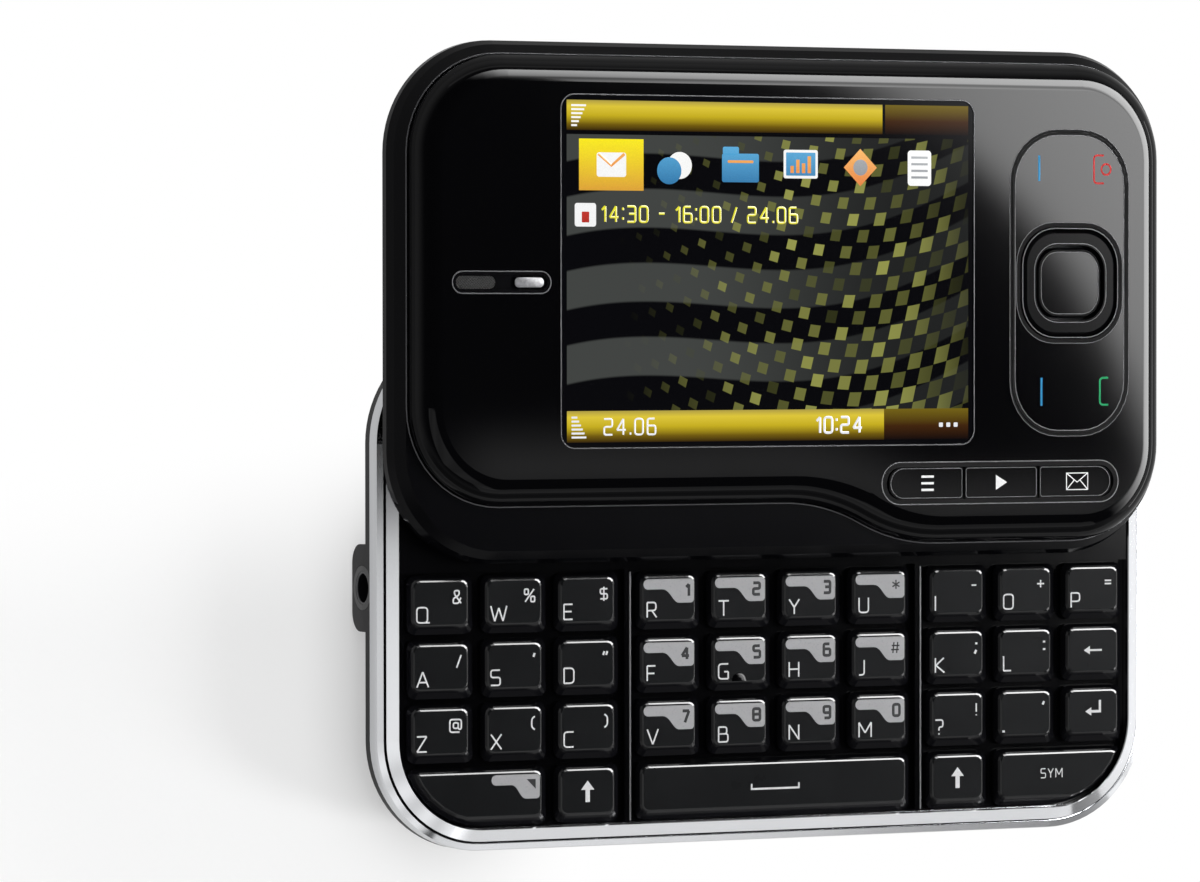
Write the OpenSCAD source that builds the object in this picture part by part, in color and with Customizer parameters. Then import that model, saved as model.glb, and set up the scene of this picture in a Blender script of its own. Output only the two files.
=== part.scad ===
// Side-sliding phone with a full keyboard, lying on its back and slid open.
// Origin: centre of the keyboard half's flat back. X runs along the keyboard, Y towards the
// display when the phone is open, Z out of the keys and the display. Millimetres.

/* [Overall] */
// Length of the phone, along the keyboard
phone_w = 97.5; // [94:0.5:106]
// Width of the phone when it is closed
phone_h = 57.8; // [57:0.2:62]
// Radius of the phone's corners, seen from the front
corner_r = 12.5; // [11:0.5:14]
// How much the two halves still overlap when the phone is open
open_overlap = 25.8; // [25:0.1:27]

/* [Rear shell] */
// Height of the rear shell's rim
shell_h = 5.6; // [5.5:0.1:6.4]
// Wall of the rear shell's sides
shell_wall = 1.2; // [1:0.1:1.6]
// Floor of the rear shell
shell_floor = 1.8; // [1.6:0.1:2]
// Radius of the rounding between the shell's side and its back
shell_edge_r = 7; // [6.6:0.1:7.4]
// How far inboard that rounding reaches
shell_edge_run = 6.5; // [6:0.1:6.5]

/* [Battery] */
// Distance from the phone's left end to the battery
battery_left = 30.75; // [28:0.25:34]
// Distance from the phone's right end to the battery
battery_right = 12.75; // [11:0.25:16]
// Distance from the phone's long sides to the battery
battery_side = 11.9; // [11.4:0.1:14]
// Gap between the battery and the board over it
battery_room = 0.18; // [0.15:0.01:0.5]
// Gap round the battery in its bay
battery_gap = 0.3; // [0.2:0.05:0.5]
// Thickness of the battery door
door_t = 1; // [0.8:0.1:1.1]
// How far the door reaches past the battery bay on each side
door_lap = 3; // [2:0.5:4]
// Gap round the battery door
door_gap = 0.12; // [0.1:0.02:0.2]
// Radius at the battery door's corners
door_r = 4; // [3:0.5:6]
// Width of the fingernail scoop beside the door
scoop_w = 12; // [8:1:16]
// Depth of that scoop
scoop_depth = 0.8; // [0.5:0.1:1]
// Number of grip grooves on the door
grip_grooves = 4; // [3:1:5]
// Distance from one grip groove to the next
grip_step = 1.2; // [1:0.1:1.5]
// Length of a grip groove
grip_w = 14; // [10:1:18]

/* [Silver frame] */
// Height of the silver frame
frame_h = 2.7; // [2.6:0.1:3]
// Width of the frame, seen from the front
frame_band = 2.45; // [2.2:0.05:2.6]
// Width of the outer band, up to the groove
outer_band = 0.85; // [0.7:0.05:1]
// Width of the groove between the bands
groove_w = 0.2; // [0.15:0.05:0.3]
// Depth of the groove
groove_depth = 0.35; // [0.2:0.05:0.4]
// How far the inner band falls towards the groove
inner_fall = 0.5; // [0.3:0.05:0.6]
// How far the outer band falls towards the side
outer_fall = 0.8; // [0.6:0.05:0.9]
// Width of the ledge inside the frame that carries the key deck
ledge_w = 0.6; // [0.4:0.05:0.6]
// Thickness of that ledge
ledge_t = 0.7; // [0.6:0.05:0.8]

/* [Keyboard] */
// Gap between the field that the keys stand in and the open display half
field_gap = 1; // [0.6:0.1:1.4]
// How far the field lies below the top of the frame
field_depth = 1.2; // [1.1:0.05:1.3]
// How far the rear half of the deck lies below the top of the frame
deck_depth = 0.3; // [0.2:0.05:0.4]
// Thickness of the deck under the keys
deck_t = 0.7; // [0.6:0.05:0.7]
// Gap between the deck and the frame round it
deck_gap = 0.05; // [0.03:0.01:0.1]
// Margin between the deck's edge and the outer keys' places
key_margin = 0.35; // [0.2:0.05:0.6]
// Extra gap beside the middle group of columns
group_gap = 1.15; // [0.9:0.05:1.5]
// Width of the two ribs in those gaps
rib_w = 0.7; // [0.5:0.05:0.9]
// Height of the ribs over the field
rib_h = 1.1; // [0.8:0.05:1.2]
// Gap between the feet of neighbours in a row
key_gap_x = 1.05; // [0.8:0.05:1.3]
// Gap between the feet of one row and the next
key_gap_y = 0.6; // [0.5:0.05:0.9]
// Height of the key faces over the frame
key_proud = 0.5; // [0.4:0.05:0.6]
// How much narrower a key's face is than its foot
face_less_x = 1.5; // [1.2:0.05:1.8]
// How much shorter a key's face is than its foot
face_less_y = 1.7; // [1.4:0.05:2]
// How far the face is shifted to the left on its foot
face_shift_x = 0.3; // [0:0.05:0.4]
// How far the face is shifted upwards on its foot
face_shift_y = 0.24; // [0:0.02:0.4]
// Height of the straight side of a key's foot
foot_h = 0.3; // [0.2:0.05:0.4]
// Gap under a key's foot over its travel
foot_gap = 0.07; // [0.05:0.01:0.12]
// Size of the bevel round a key's face
face_bevel = 0.3; // [0.2:0.02:0.36]
// Size of the softened edge inside that bevel
face_crown = 0.09; // [0.05:0.01:0.12]
// Radius at the corners of a key's face
face_r = 0.7; // [0.4:0.05:0.9]
// Radius at the corners of a key's foot
foot_r = 0.9; // [0.6:0.05:1.2]
// Gap between the two corner keys and the deck's round corners
corner_key_gap = 0.29; // [0.2:0.01:0.5]
// How far a key travels
key_travel = 0.35; // [0.25:0.05:0.35]
// How much narrower than its foot a key's stem is
stem_less = 1.7; // [1.5:0.1:2]
// Gap round a key's stem in the deck
stem_gap = 0.1; // [0.08:0.01:0.15]
// How far the tabs under the deck reach past the stem
tab_reach = 0.4; // [0.3:0.05:0.5]
// Thickness of those tabs
tab_t = 0.25; // [0.2:0.05:0.3]

/* [Main board] */
// Thickness of the main board
board_t = 0.6; // [0.5:0.05:0.7]
// Height of the domes under the keys
dome_h = 0.2; // [0.15:0.05:0.25]
// Radius of the domes
dome_r = 1.9; // [1.5:0.1:2.2]
// Gap between the board and the shell's wall
board_gap = 0.4; // [0.3:0.1:1]
// Gap between a moving piece and what it stops short of
stop_gap = 0.05; // [0.03:0.01:0.08]

/* [Headset socket] */
// Radius of the headset socket's bore
jack_r = 1.8; // [1.76:0.01:1.85]
// Depth of the bore
jack_depth = 13; // [12:0.5:14]
// Radius of the socket's collar
jack_collar_r = 2.5; // [2.3:0.1:2.7]
// Width of the socket's body
jack_body_w = 4.6; // [4.2:0.1:5]
// Wall over and under the bore in the socket's body
jack_wall = 0.35; // [0.3:0.05:0.4]
// Wall at the blind end of the bore
jack_end = 1.5; // [1:0.1:2]
// How far the socket's body reaches into the boss
jack_body_lap = 2; // [1:0.1:3]
// Height of the socket's middle over the back
jack_z = 3.5; // [3.4:0.05:3.5]
// How far the socket lies above the middle of the first row of keys
jack_rise = 1.86; // [0:0.02:3]
// Width of the boss that the socket sits in
boss_w = 9.7; // [8.4:0.1:11]
// Depth of the boss, from the shell's side inwards
boss_depth = 5; // [4.4:0.1:5.2]
// Height of the boss's underside over the back
boss_z = 0.7; // [0.4:0.1:0.9]
// Radius at the boss's lower corners
boss_r = 2.2; // [1.6:0.1:2.4]

/* [Camera, speaker and ports] */
// Radius of the camera's window
camera_r = 4; // [3.5:0.1:4.4]
// Distance from the phone's left end to the middle of the camera and the speaker
camera_inset = 12.75; // [12:0.25:14]
// Distance of the camera from one long side, and of the speaker from the other
camera_side = 15.4; // [14.4:0.1:16.4]
// How far the camera's window lies below the back
camera_sink = 0.3; // [0.2:0.05:0.5]
// Width of the ring round the camera's recess
camera_ring = 1.1; // [0.9:0.1:1.4]
// Depth of that recess
camera_recess = 0.5; // [0.3:0.05:0.7]
// Radius of the camera's lens
lens_r = 1.6; // [1.2:0.1:1.9]
// Number of sound slots in the back
sound_slots = 4; // [3:1:5]
// Length of a sound slot
sound_slot_w = 7; // [5:0.5:8]
// Width of a sound slot
sound_slot_h = 0.9; // [0.6:0.1:1]
// Width of the data socket
port_w = 7.4; // [7.2:0.1:7.8]
// Height of the data socket
port_h = 2.3; // [2.1:0.1:2.4]
// Wall of the data socket
port_wall = 0.3; // [0.2:0.05:0.4]
// Depth of the data socket
port_depth = 4.6; // [4:0.1:5]
// Distance from the phone's right end to the data socket's mouth
port_inset = 1.2; // [1.1:0.1:1.4]

/* [Side keys] */
// Height of a side key
side_key_h = 2; // [1.6:0.1:2.1]
// How far above and below its middle a side key's round ends run straight
side_key_flat = 0.15; // [0.1:0.01:0.2]
// How far a side key stands out of the side
side_key_proud = 0.6; // [0.5:0.05:0.8]
// How far a side key is pressed in
side_key_travel = 0.3; // [0.2:0.05:0.4]
// How far the side keys lie below the silver frame
side_key_drop = 0.3; // [0.25:0.05:0.4]
// Size of the bevel round a side key's face
side_key_bevel = 0.3; // [0.2:0.05:0.35]
// Length of the volume rocker
volume_w = 17; // [14:0.5:20]
// Length of the camera key
shutter_w = 9; // [7:0.5:11]
// Length of the power key
power_w = 7; // [6:0.5:9]
// Distance from the phone's left end to the middle of the volume rocker
volume_inset = 24.75; // [22:0.25:28]
// Distance from the phone's right end to the middle of the camera key
shutter_inset = 22.75; // [20:0.25:26]
// Distance of the power key from the phone's middle
power_x = 4; // [0:0.5:6]
// Gap round a side key
side_key_gap = 0.15; // [0.1:0.01:0.2]
// How far a side key's lip reaches past its button, behind the wall
side_key_lip = 0.4; // [0.3:0.05:0.5]
// Thickness of that lip
side_key_lip_t = 0.4; // [0.3:0.05:0.5]
// Width of the volume rocker's lip, which it pivots on
rocker_lip_w = 4; // [3:0.5:6]

/* [Slide] */
// Gap between the key faces and the display half
slider_gap = 0.3; // [0.25:0.05:0.5]
// Thickness of the display half's metal back plate
back_plate_t = 0.8; // [0.6:0.05:0.9]
// Distance from the field of the keys to the near end of a rail
rail_start = 5.6; // [5:0.1:8]
// Width of a rail's neck
rail_neck_w = 2; // [1.6:0.1:2.4]
// Width of a rail's head
rail_head_w = 4; // [3.6:0.1:4.4]
// Thickness of a rail's head
rail_head_t = 0.55; // [0.4:0.05:0.6]
// How far the rails' carrier reaches past them, both sides together
rail_foot_w = 5; // [4.4:0.1:5.4]
// Thickness of that carrier
rail_foot_t = 0.3; // [0.2:0.05:0.3]
// Gap between a rail and the plate that runs on it
rail_gap = 0.08; // [0.05:0.01:0.12]
// Distance from the phone's short sides to the middle of a rail
rail_inset = 12.75; // [12.25:0.25:15]
// Margin between the far end of a closed rail and the phone's edge
rail_margin = 3.2; // [3.1:0.1:4]

/* [Display half] */
// Height of the display half up to its chin
bezel_h = 3.3; // [3.2:0.05:3.6]
// Height of the bezel's upright side
bezel_side_h = 1.2; // [1:0.05:1.5]
// How far inboard the bezel's slope reaches
bezel_slope = 1.45; // [1.2:0.05:1.5]
// Wall of the bezel's side
bezel_wall = 1.2; // [1:0.05:1.3]
// Width of the bezel's swept edge, up to its flat middle
bezel_edge = 4; // [3.8:0.1:4.4]
// Gap round the metal back plate
plate_gap = 0.1; // [0.05:0.01:0.15]
// Distance from the phone's edge to the front panel
panel_margin = 1.7; // [1.65:0.05:2]
// Gap between the front panel and the bezel round it
panel_gap = 0.15; // [0.1:0.01:0.2]
// How far the front panel sinks into the bezel
panel_sink = 0.3; // [0.2:0.05:0.35]
// Height of the front panel over the chin
panel_rise = 2.9; // [2.8:0.05:3]
// Radius of the rounding at the front panel's edge
panel_edge_r = 3.2; // [3.2:0.05:3.4]
// How far inboard that rounding reaches
panel_edge_run = 2.9; // [2.6:0.05:3]
// Wall of the front panel
panel_t = 1.2; // [1.1:0.05:1.3]
// Extra height of the chin to the left of the wave
panel_step = 4.8; // [4:0.1:5.2]
// How far the wave reaches past the left end of the shortcut keys' opening
wave_lap = 7.7; // [7:0.1:8.2]
// How far the wave runs along X
wave_run = 19.4; // [17:0.2:20]

/* [Display] */
// Distance from the panel's left edge to the window
window_left = 17.25; // [16.5:0.05:19]
// Distance from the panel's right edge to the window
window_right = 25.25; // [24.8:0.05:27]
// Distance from the panel's top edge to the window
window_top = 4.4; // [4:0.1:5.6]
// Distance from the panel's lowest edge to the window
window_bottom = 11.2; // [11:0.1:13]
// Radius at the window's corners
window_r = 1.5; // [1:0.1:2]
// Thickness of the window
window_t = 0.75; // [0.6:0.05:0.8]
// Gap round the window
window_gap = 0.06; // [0.04:0.01:0.1]
// Width of the ledge under the window's edge
window_ledge = 0.5; // [0.4:0.05:0.8]
// How far the display module reaches past the window
module_lap = 0.9; // [0.7:0.1:0.9]

/* [Earpiece] */
// Distance from the panel's left edge to the earpiece slot
ear_left = 4.15; // [3.8:0.05:5]
// Height of the earpiece slot
ear_h = 2.2; // [1.8:0.1:2.6]
// Distance from the earpiece slot to the window
ear_right = 1.5; // [1.45:0.05:2.5]
// Distance of the slot's middle from the phone's middle, along Y
ear_y = 2.16; // [0:0.1:4]
// Depth of the recess in the slot
ear_sink = 0.45; // [0.3:0.05:0.5]
// Width of the sensor's lens in the slot
sensor_w = 3.7; // [3:0.1:4.2]
// Height of that lens
sensor_h = 1.3; // [1:0.1:1.5]
// Radius of a sound hole
hole_r = 0.22; // [0.15:0.01:0.3]
// Distance from one sound hole to the next
hole_step = 0.85; // [0.7:0.05:0.95]
// Width of the rim round the recess
ear_rim = 0.3; // [0.2:0.05:0.4]
// How far the insert's flange reaches under the panel
ear_flange = 0.5; // [0.3:0.1:0.7]
// Thickness of that flange
ear_flange_t = 0.45; // [0.3:0.05:0.6]

/* [Navigation keys] */
// Distance from the panel's right edge to the plate with the soft keys and the call keys
soft_right = 5.15; // [4.8:0.05:5.6]
// Distance from the panel's top edge to that plate
soft_top = 7.7; // [7:0.1:8.6]
// Distance from the window to that plate
soft_left = 5.1; // [4.8:0.05:5.6]
// Distance from the panel's lowest edge to that plate
soft_bottom = 12.2; // [12:0.1:13]
// Radius at that plate's corners
soft_r = 6; // [5:0.1:6.6]
// Gap round that plate
soft_gap = 0.2; // [0.15:0.01:0.25]
// Distance from the navigation ring to the long edges of that plate
ring_side = 1.1; // [1:0.05:1.3]
// Radius at the ring's corners
ring_r = 4.5; // [4:0.1:5]
// Width of the ring's sloping edge
ring_slope = 0.75; // [0.5:0.05:0.9]
// Tilt of the ring each way, in degrees
ring_tilt = 2; // [1:0.1:2]
// Width of the navigation ring's sides
ring_band_x = 2.2; // [2:0.05:2.4]
// Width of the navigation ring's upper and lower bands
ring_band_y = 2.4; // [2.2:0.05:2.6]
// Radius at the middle key's corners
middle_r = 2.6; // [2:0.1:3]
// Gap round the middle key
middle_gap = 0.3; // [0.25:0.01:0.35]
// How far the middle key and the shortcut keys are pressed
small_travel = 0.25; // [0.2:0.01:0.25]
// Height of the navigation ring over the front panel
ring_proud = 0.2; // [0.1:0.05:0.3]
// Height of the other front keys over the front panel
front_key_proud = 0.05; // [0:0.01:0.1]
// Thickness of the pad that the ring tilts on
pad_t = 0.6; // [0.5:0.05:0.65]
// How much narrower that pad is than the ring
pad_less = 0.8; // [0.6:0.1:1.2]
// Radius of the hole in the pad
pad_hole_r = 2.6; // [2.4:0.1:2.8]
// Gap between the ring's edge and the side of the pocket under it
pad_gap = 0.3; // [0.25:0.05:0.4]
// How far the pad lies below the top of the blocks under the keys
pad_sink = 0.15; // [0.1:0.05:0.2]
// Room between the front panel's plate and the blocks under the keys
front_room = 0.6; // [0.55:0.05:0.65]
// How much smaller those blocks are than the keys over them, on each side
block_less = 0.5; // [0.3:0.1:0.8]
// How far the soft key plate's underside lies over the underside of the panel
soft_lift = 0.1; // [0.05:0.05:0.2]
// Size of the bevel round the middle key's face
middle_bevel = 0.2; // [0.1:0.05:0.3]
// Radius of the middle key's stem
middle_stem_r = 2; // [1.6:0.1:2.1]
// Thickness by which the middle key starts over the ring's underside
middle_lift = 0.2; // [0.1:0.05:0.3]

/* [Shortcut keys] */
// Length of the shortcut keys' opening
shortcut_w = 29.5; // [28.6:0.1:30.2]
// Height of that opening
shortcut_h = 4.1; // [3.8:0.1:4.4]
// Distance from the panel's right edge to that opening
shortcut_right = 6.85; // [6.5:0.05:7.5]
// Distance from the panel's lowest edge to the middle of that opening
shortcut_bottom = 6.7; // [6.6:0.05:6.9]
// Gap round the shortcut keys and between them
shortcut_gap = 0.22; // [0.15:0.01:0.3]
// How far the shortcut keys reach below the front panel's plate
shortcut_sink = 0.2; // [0.1:0.05:0.25]

/* [Hidden] */
$fn = 64;
e = 0.01;  // overshoot of a cut past the face that it opens

// The keys of each row, and how many columns each one takes
key_rows = [
    ["q", "w", "e", "r", "t", "y", "u", "i", "o", "p"],
    ["a", "s", "d", "f", "g", "h", "j", "k", "l", "backspace"],
    ["z", "x", "c", "v", "b", "n", "m", "question", "period", "enter"],
    ["function", "shift_left", "space", "shift_right", "symbols"]
];
wide_spans = [2, 1, 4, 1, 2];
columns = 10;
rows = len(key_rows);
function key_span(row, i) = row == rows - 1 ? wide_spans[i] : 1;
function first_column(row, i) = i == 0 ? 0 : first_column(row, i - 1) + key_span(row, i - 1);
keys = [
    for (row = [0 : rows - 1], i = [0 : len(key_rows[row]) - 1])
        [str("key_", key_rows[row][i]), row, first_column(row, i), key_span(row, i)]
];

// Levels of the keyboard half, from its back upwards
frame_top = shell_h + frame_h;
field_z = frame_top - field_depth;
deck_z = frame_top - deck_depth;
deck_under = field_z - deck_t;
tab_z = deck_under - stop_gap - tab_t;
dome_top = tab_z - key_travel - stop_gap;
board_top = dome_top - dome_h;
board_z = board_top - board_t;
battery_z = door_t + door_gap;
battery_t = board_z - battery_z - battery_room;
foot_z = field_z + key_travel + foot_gap;
key_top = frame_top + key_proud;

// Levels of the display half
slider_z = key_top + slider_gap;
plate_top = slider_z + back_plate_t;
head_z = plate_top + rail_gap;
bezel_floor = head_z + rail_head_t + rail_gap * 2;
chin_z = slider_z + bezel_h;
seat_z = chin_z - panel_sink;
panel_top = chin_z + panel_rise;
plate_z = panel_top - panel_t;
front_key_top = panel_top + front_key_proud;
block_z = plate_z - front_room;
pad_z = block_z - pad_t - pad_sink;

// Sizes seen from the front
frame_inner = frame_band + deck_gap;
deck_w = phone_w - 2 * frame_inner;
deck_edge_y = phone_h / 2 - frame_inner;
slide_travel = phone_h - open_overlap;
keypad_h = slide_travel - frame_inner - field_gap;
field_top_y = -deck_edge_y + keypad_h;
pitch_x = (deck_w - 2 * key_margin - 2 * group_gap) / columns;
pitch_y = keypad_h / rows;
groove_end = outer_band + groove_w;
panel_w = phone_w - 2 * panel_margin;
panel_h = phone_h - 2 * panel_margin;
panel_r = corner_r - panel_margin;
wave_start = panel_w / 2 - shortcut_right - shortcut_w + wave_lap - wave_run;
wave_r = (wave_run * wave_run + panel_step * panel_step) / (4 * panel_step);
wave_angle = asin(wave_run / (2 * wave_r));
rail_x = phone_w / 2 - rail_inset;
rail_end_y = phone_h / 2 - rail_margin;
rail_len = rail_end_y - field_top_y - rail_start;
window_w = panel_w - window_left - window_right;
window_h = panel_h - window_top - window_bottom;
window_x = (window_left - window_right) / 2;
window_y = (window_bottom - window_top) / 2;
ear_w = window_left - ear_left - ear_right;
ear_x = ear_left + ear_w / 2 - panel_w / 2;
soft_w = window_right - soft_left - soft_right;
soft_h = panel_h - soft_top - soft_bottom;
soft_x = panel_w / 2 - soft_right - soft_w / 2;
soft_y = (soft_bottom - soft_top) / 2;
ring_w = soft_w - 2 * ring_side;
ring_drop = ring_w / 2 * sin(ring_tilt) + stop_gap;
pad_pocket_z = pad_z - ring_drop;
ring_z = pad_z + pad_t + ring_drop;
middle_w = ring_w - 2 * ring_band_x;
middle_h = ring_w - 2 * ring_band_y;
shortcut_x = panel_w / 2 - shortcut_right - shortcut_w / 2;
shortcut_y = shortcut_bottom - panel_h / 2;
battery_w = phone_w - battery_left - battery_right;
battery_h = phone_h - 2 * battery_side;
battery_x = (battery_left - battery_right) / 2;
camera_x = camera_inset - phone_w / 2;
camera_y = phone_h / 2 - camera_side;
jack_y = field_top_y - pitch_y / 2 + jack_rise;
volume_x = volume_inset - phone_w / 2;
shutter_x = phone_w / 2 - shutter_inset;
side_key_z = shell_h - side_key_h / 2 - side_key_drop;
lip_depth = shell_wall + side_key_lip_t + side_key_gap;
collar_len = boss_depth - jack_body_lap;
jack_body_len = jack_depth + jack_end - collar_len;
deck_r = corner_r - frame_inner;
port_z = board_z - port_h / 2;
door_w = battery_w + 2 * (battery_gap + door_lap);
door_h = battery_h + 2 * (battery_gap + door_lap);
bay_r = 1.5;
scoop_r = 3;

// ---------------------------------------------------------------- shared shapes

// Rounded rectangle about the origin
module rounded_rect(w, h, r) {
    square([w - 2 * r, h], center = true);
    square([w, h - 2 * r], center = true);
    for (x = [-1, 1], y = [-1, 1])
        translate([x * (w / 2 - r), y * (h / 2 - r)]) circle(r);
}

// The phone's outline, drawn in from its edge by inset
module phone_outline(inset = 0) {
    rounded_rect(phone_w - 2 * inset, phone_h - 2 * inset, corner_r - inset);
}

// A route is a list of legs, each ["line", length] or ["arc", radius, turn to the left].
function leg_turn(leg) = leg[0] == "arc" ? leg[2] : 0;
function leg_step(leg) = leg[0] == "line" ? [leg[1], 0]
    : [leg[1] * sin(abs(leg[2])), sign(leg[2]) * leg[1] * (1 - cos(leg[2]))];
function turned(v, a) = [v.x * cos(a) - v.y * sin(a), v.x * sin(a) + v.y * cos(a)];
function heading(route, i) = i == 0 ? 0 : heading(route, i - 1) + leg_turn(route[i - 1]);
function leg_start(route, i) = i == 0 ? [0, 0]
    : leg_start(route, i - 1) + turned(leg_step(route[i - 1]), heading(route, i - 1));

// Sweeps the child's profile along a route that runs anticlockwise round the object.
// The profile's x is the distance inboard and its y the height.
module sweep_along(route) {
    for (i = [0 : len(route) - 1])
        translate(leg_start(route, i)) rotate(heading(route, i)) {
            leg = route[i];
            if (leg[0] == "line")
                rotate([90, 0, 90]) linear_extrude(leg[1]) children();
            else if (leg[2] > 0)
                translate([0, leg[1]]) rotate(-90)
                    rotate_extrude(angle = leg[2]) translate([leg[1], 0]) mirror([1, 0]) children();
            else
                translate([0, -leg[1]]) rotate(90 + leg[2])
                    rotate_extrude(angle = -leg[2]) translate([leg[1], 0]) children();
        }
}

// Sweeps the child's profile round a rounded rectangle about the origin
module sweep_rounded_rect(w, h, r) {
    translate([r - w / 2, -h / 2]) sweep_along([
        for (side = [0 : 3]) each [["line", (side % 2 == 0 ? w : h) - 2 * r], ["arc", r, 90]]
    ]) children();
}
module sweep_phone_edge() {
    sweep_rounded_rect(phone_w, phone_h, corner_r) children();
}

// Plate with a rounded outline and a bevel round its upper face
module bevelled_plate(w, h, r, t, bevel) {
    band = 2 * bevel;
    sweep_rounded_rect(w, h, r)
        polygon([[0, 0], [0, t - bevel], [bevel, t], [band, t], [band, 0]]);
    linear_extrude(t) rounded_rect(w - 2 * band + 2 * e, h - 2 * band + 2 * e, r - band + e);
}

// Moves the display half from its closed place to its open one
module on_slider() {
    translate([0, slide_travel, 0]) children();
}

// ---------------------------------------------------------------- keyboard half

// Section of the rear shell's edge: an upright side that rounds into the flat back
module shell_edge_profile() {
    difference() {
        intersection() {
            square([shell_edge_run, shell_h]);
            translate([shell_edge_run, shell_edge_r]) circle(shell_edge_r);
        }
        difference() {
            translate([shell_edge_run, shell_edge_r]) circle(shell_edge_r - shell_floor);
            translate([-shell_edge_r, 0]) square([shell_edge_r + shell_wall, 2 * shell_edge_r]);
        }
        translate([shell_wall, shell_edge_r - shell_floor / 2]) square(shell_edge_r);
    }
}

// Black boss that holds the headset socket, with its lower corners rounded
module jack_boss() {
    translate([-phone_w / 2, jack_y, 0]) rotate([90, 0, 90]) linear_extrude(boss_depth) {
        translate([-boss_w / 2, boss_z + boss_r]) square([boss_w, shell_h - boss_z - boss_r]);
        translate([boss_r - boss_w / 2, boss_z]) square([boss_w - 2 * boss_r, shell_h - boss_z]);
        for (side = [-1, 1])
            translate([side * (boss_w / 2 - boss_r), boss_z + boss_r]) circle(boss_r);
    }
}

// A round bar along X at the headset socket, from the phone's side inwards
module jack_bar(r, length, start = 0) {
    translate([start - phone_w / 2, jack_y, jack_z]) rotate([0, 90, 0]) cylinder(r = r, h = length);
}

// Block at a side key's place, from a depth inside the side to a height outside it
module side_key_block(x, w, inside, outside, grow = 0) {
    translate([x - w / 2 - grow, phone_h / 2 - inside, side_key_z - side_key_h / 2 - grow])
        cube([w + 2 * grow, inside + outside, side_key_h + 2 * grow]);
}

// Opening of a side key in the shell: the button's hole, and room for the lip behind the wall
module side_key_opening(x, w, lip_w) {
    side_key_block(x, w, 2 * shell_wall, 1, side_key_gap);
    translate([x - lip_w / 2 - side_key_gap, phone_h / 2 - lip_depth - side_key_travel - side_key_gap,
        side_key_z - side_key_h / 2 - side_key_lip])
        cube([lip_w + 2 * side_key_gap, lip_depth + side_key_travel + side_key_gap - shell_wall, shell_h]);
}

// Body of the headset socket behind its collar
module jack_body(gap = 0) {
    size = [jack_body_len, jack_body_w, 2 * (jack_r + jack_wall)] + 2 * gap * [1, 1, 1];
    translate([collar_len + jack_body_len / 2 - phone_w / 2, jack_y, jack_z]) cube(size, center = true);
}

module rear_shell() {
    color([0.06, 0.06, 0.07]) difference() {
        union() {
            sweep_phone_edge() shell_edge_profile();
            linear_extrude(shell_floor) phone_outline(shell_edge_run);
            jack_boss();
        }
        // recess of the battery door, and the bay behind it
        translate([battery_x, 0, -e]) {
            linear_extrude(door_t + 2 * e) rounded_rect(door_w, door_h, door_r);
            linear_extrude(shell_floor + 2 * e)
                rounded_rect(battery_w + 2 * battery_gap, battery_h + 2 * battery_gap, bay_r);
        }
        // fingernail scoop beside the door
        translate([battery_x + door_w / 2, 0, scoop_depth - scoop_r]) rotate([90, 0, 0])
            cylinder(r = scoop_r, h = scoop_w, center = true);
        jack_bar(jack_collar_r + deck_gap, collar_len + 2 * e, -e);
        jack_body(deck_gap);
        translate([camera_x, camera_y, -e]) cylinder(r = camera_r + deck_gap, h = shell_floor + 1);
        for (i = [0 : sound_slots - 1])
            translate([camera_x, -camera_y + (i - (sound_slots - 1) / 2) * 2 * sound_slot_h, -e])
                linear_extrude(shell_floor + 2 * e)
                    rounded_rect(sound_slot_w, sound_slot_h, sound_slot_h / 2 - e);
        // data socket's mouth, in the right end
        translate([phone_w / 2 - port_inset, 0, port_z]) cube([2 * (port_depth + deck_gap),
            port_w + 2 * deck_gap, port_h + 2 * deck_gap], center = true);
        side_key_opening(volume_x, volume_w, rocker_lip_w);
        side_key_opening(shutter_x, shutter_w, shutter_w + 2 * side_key_lip);
        side_key_opening(power_x, power_w, power_w + 2 * side_key_lip);
    }
}

module battery_door() {
    color([0.09, 0.09, 0.1]) translate([battery_x, 0, 0]) difference() {
        linear_extrude(door_t) rounded_rect(door_w - 2 * door_gap, door_h - 2 * door_gap, door_r - door_gap);
        // shallow grip grooves by the scoop
        for (i = [0 : grip_grooves - 1])
            translate([door_w / 2 - scoop_r - (i + 1.5) * grip_step, 0, 0]) rotate([90, 0, 0])
                cylinder(r = grip_step / 4, h = grip_w, center = true);
    }
}

module battery() {
    color([0.25, 0.27, 0.3]) translate([battery_x, 0, battery_z]) linear_extrude(battery_t)
        rounded_rect(battery_w, battery_h, bay_r - battery_gap);
}

// Section of the silver frame: outer band, groove, inner band and the ledge for the deck
module frame_profile() {
    groove_z = frame_top - inner_fall;
    soft = 0.1;
    polygon([
        [0, shell_h],
        [0, groove_z - outer_fall],
        [soft, groove_z - outer_fall / 2],
        [outer_band - soft, groove_z - soft],
        [outer_band, groove_z - 2 * soft],
        [outer_band, groove_z - groove_depth],
        [groove_end, groove_z - groove_depth],
        [groove_end, groove_z],
        [frame_band - soft, frame_top],
        [frame_band, frame_top - soft],
        [frame_band, deck_under],
        [frame_band + ledge_w, deck_under],
        [frame_band + ledge_w, deck_under - ledge_t],
        [shell_wall, deck_under - ledge_t],
        [shell_wall, shell_h]
    ]);
}

module base_frame() {
    color([0.8, 0.81, 0.83]) sweep_phone_edge() frame_profile();
}

// Middle of a key's place on the deck
function column_x(c) = (c - (columns - 1) / 2) * pitch_x + group_gap * (c < 3 ? -1 : c < 7 ? 0 : 1);
function key_x(k) = (column_x(k[2]) + column_x(k[2] + k[3] - 1)) / 2;
function key_y(k) = field_top_y - (k[1] + 0.5) * pitch_y;
function foot_w(k) = column_x(k[2] + k[3] - 1) - column_x(k[2]) + pitch_x - key_gap_x;
foot_len = pitch_y - key_gap_y;

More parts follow.
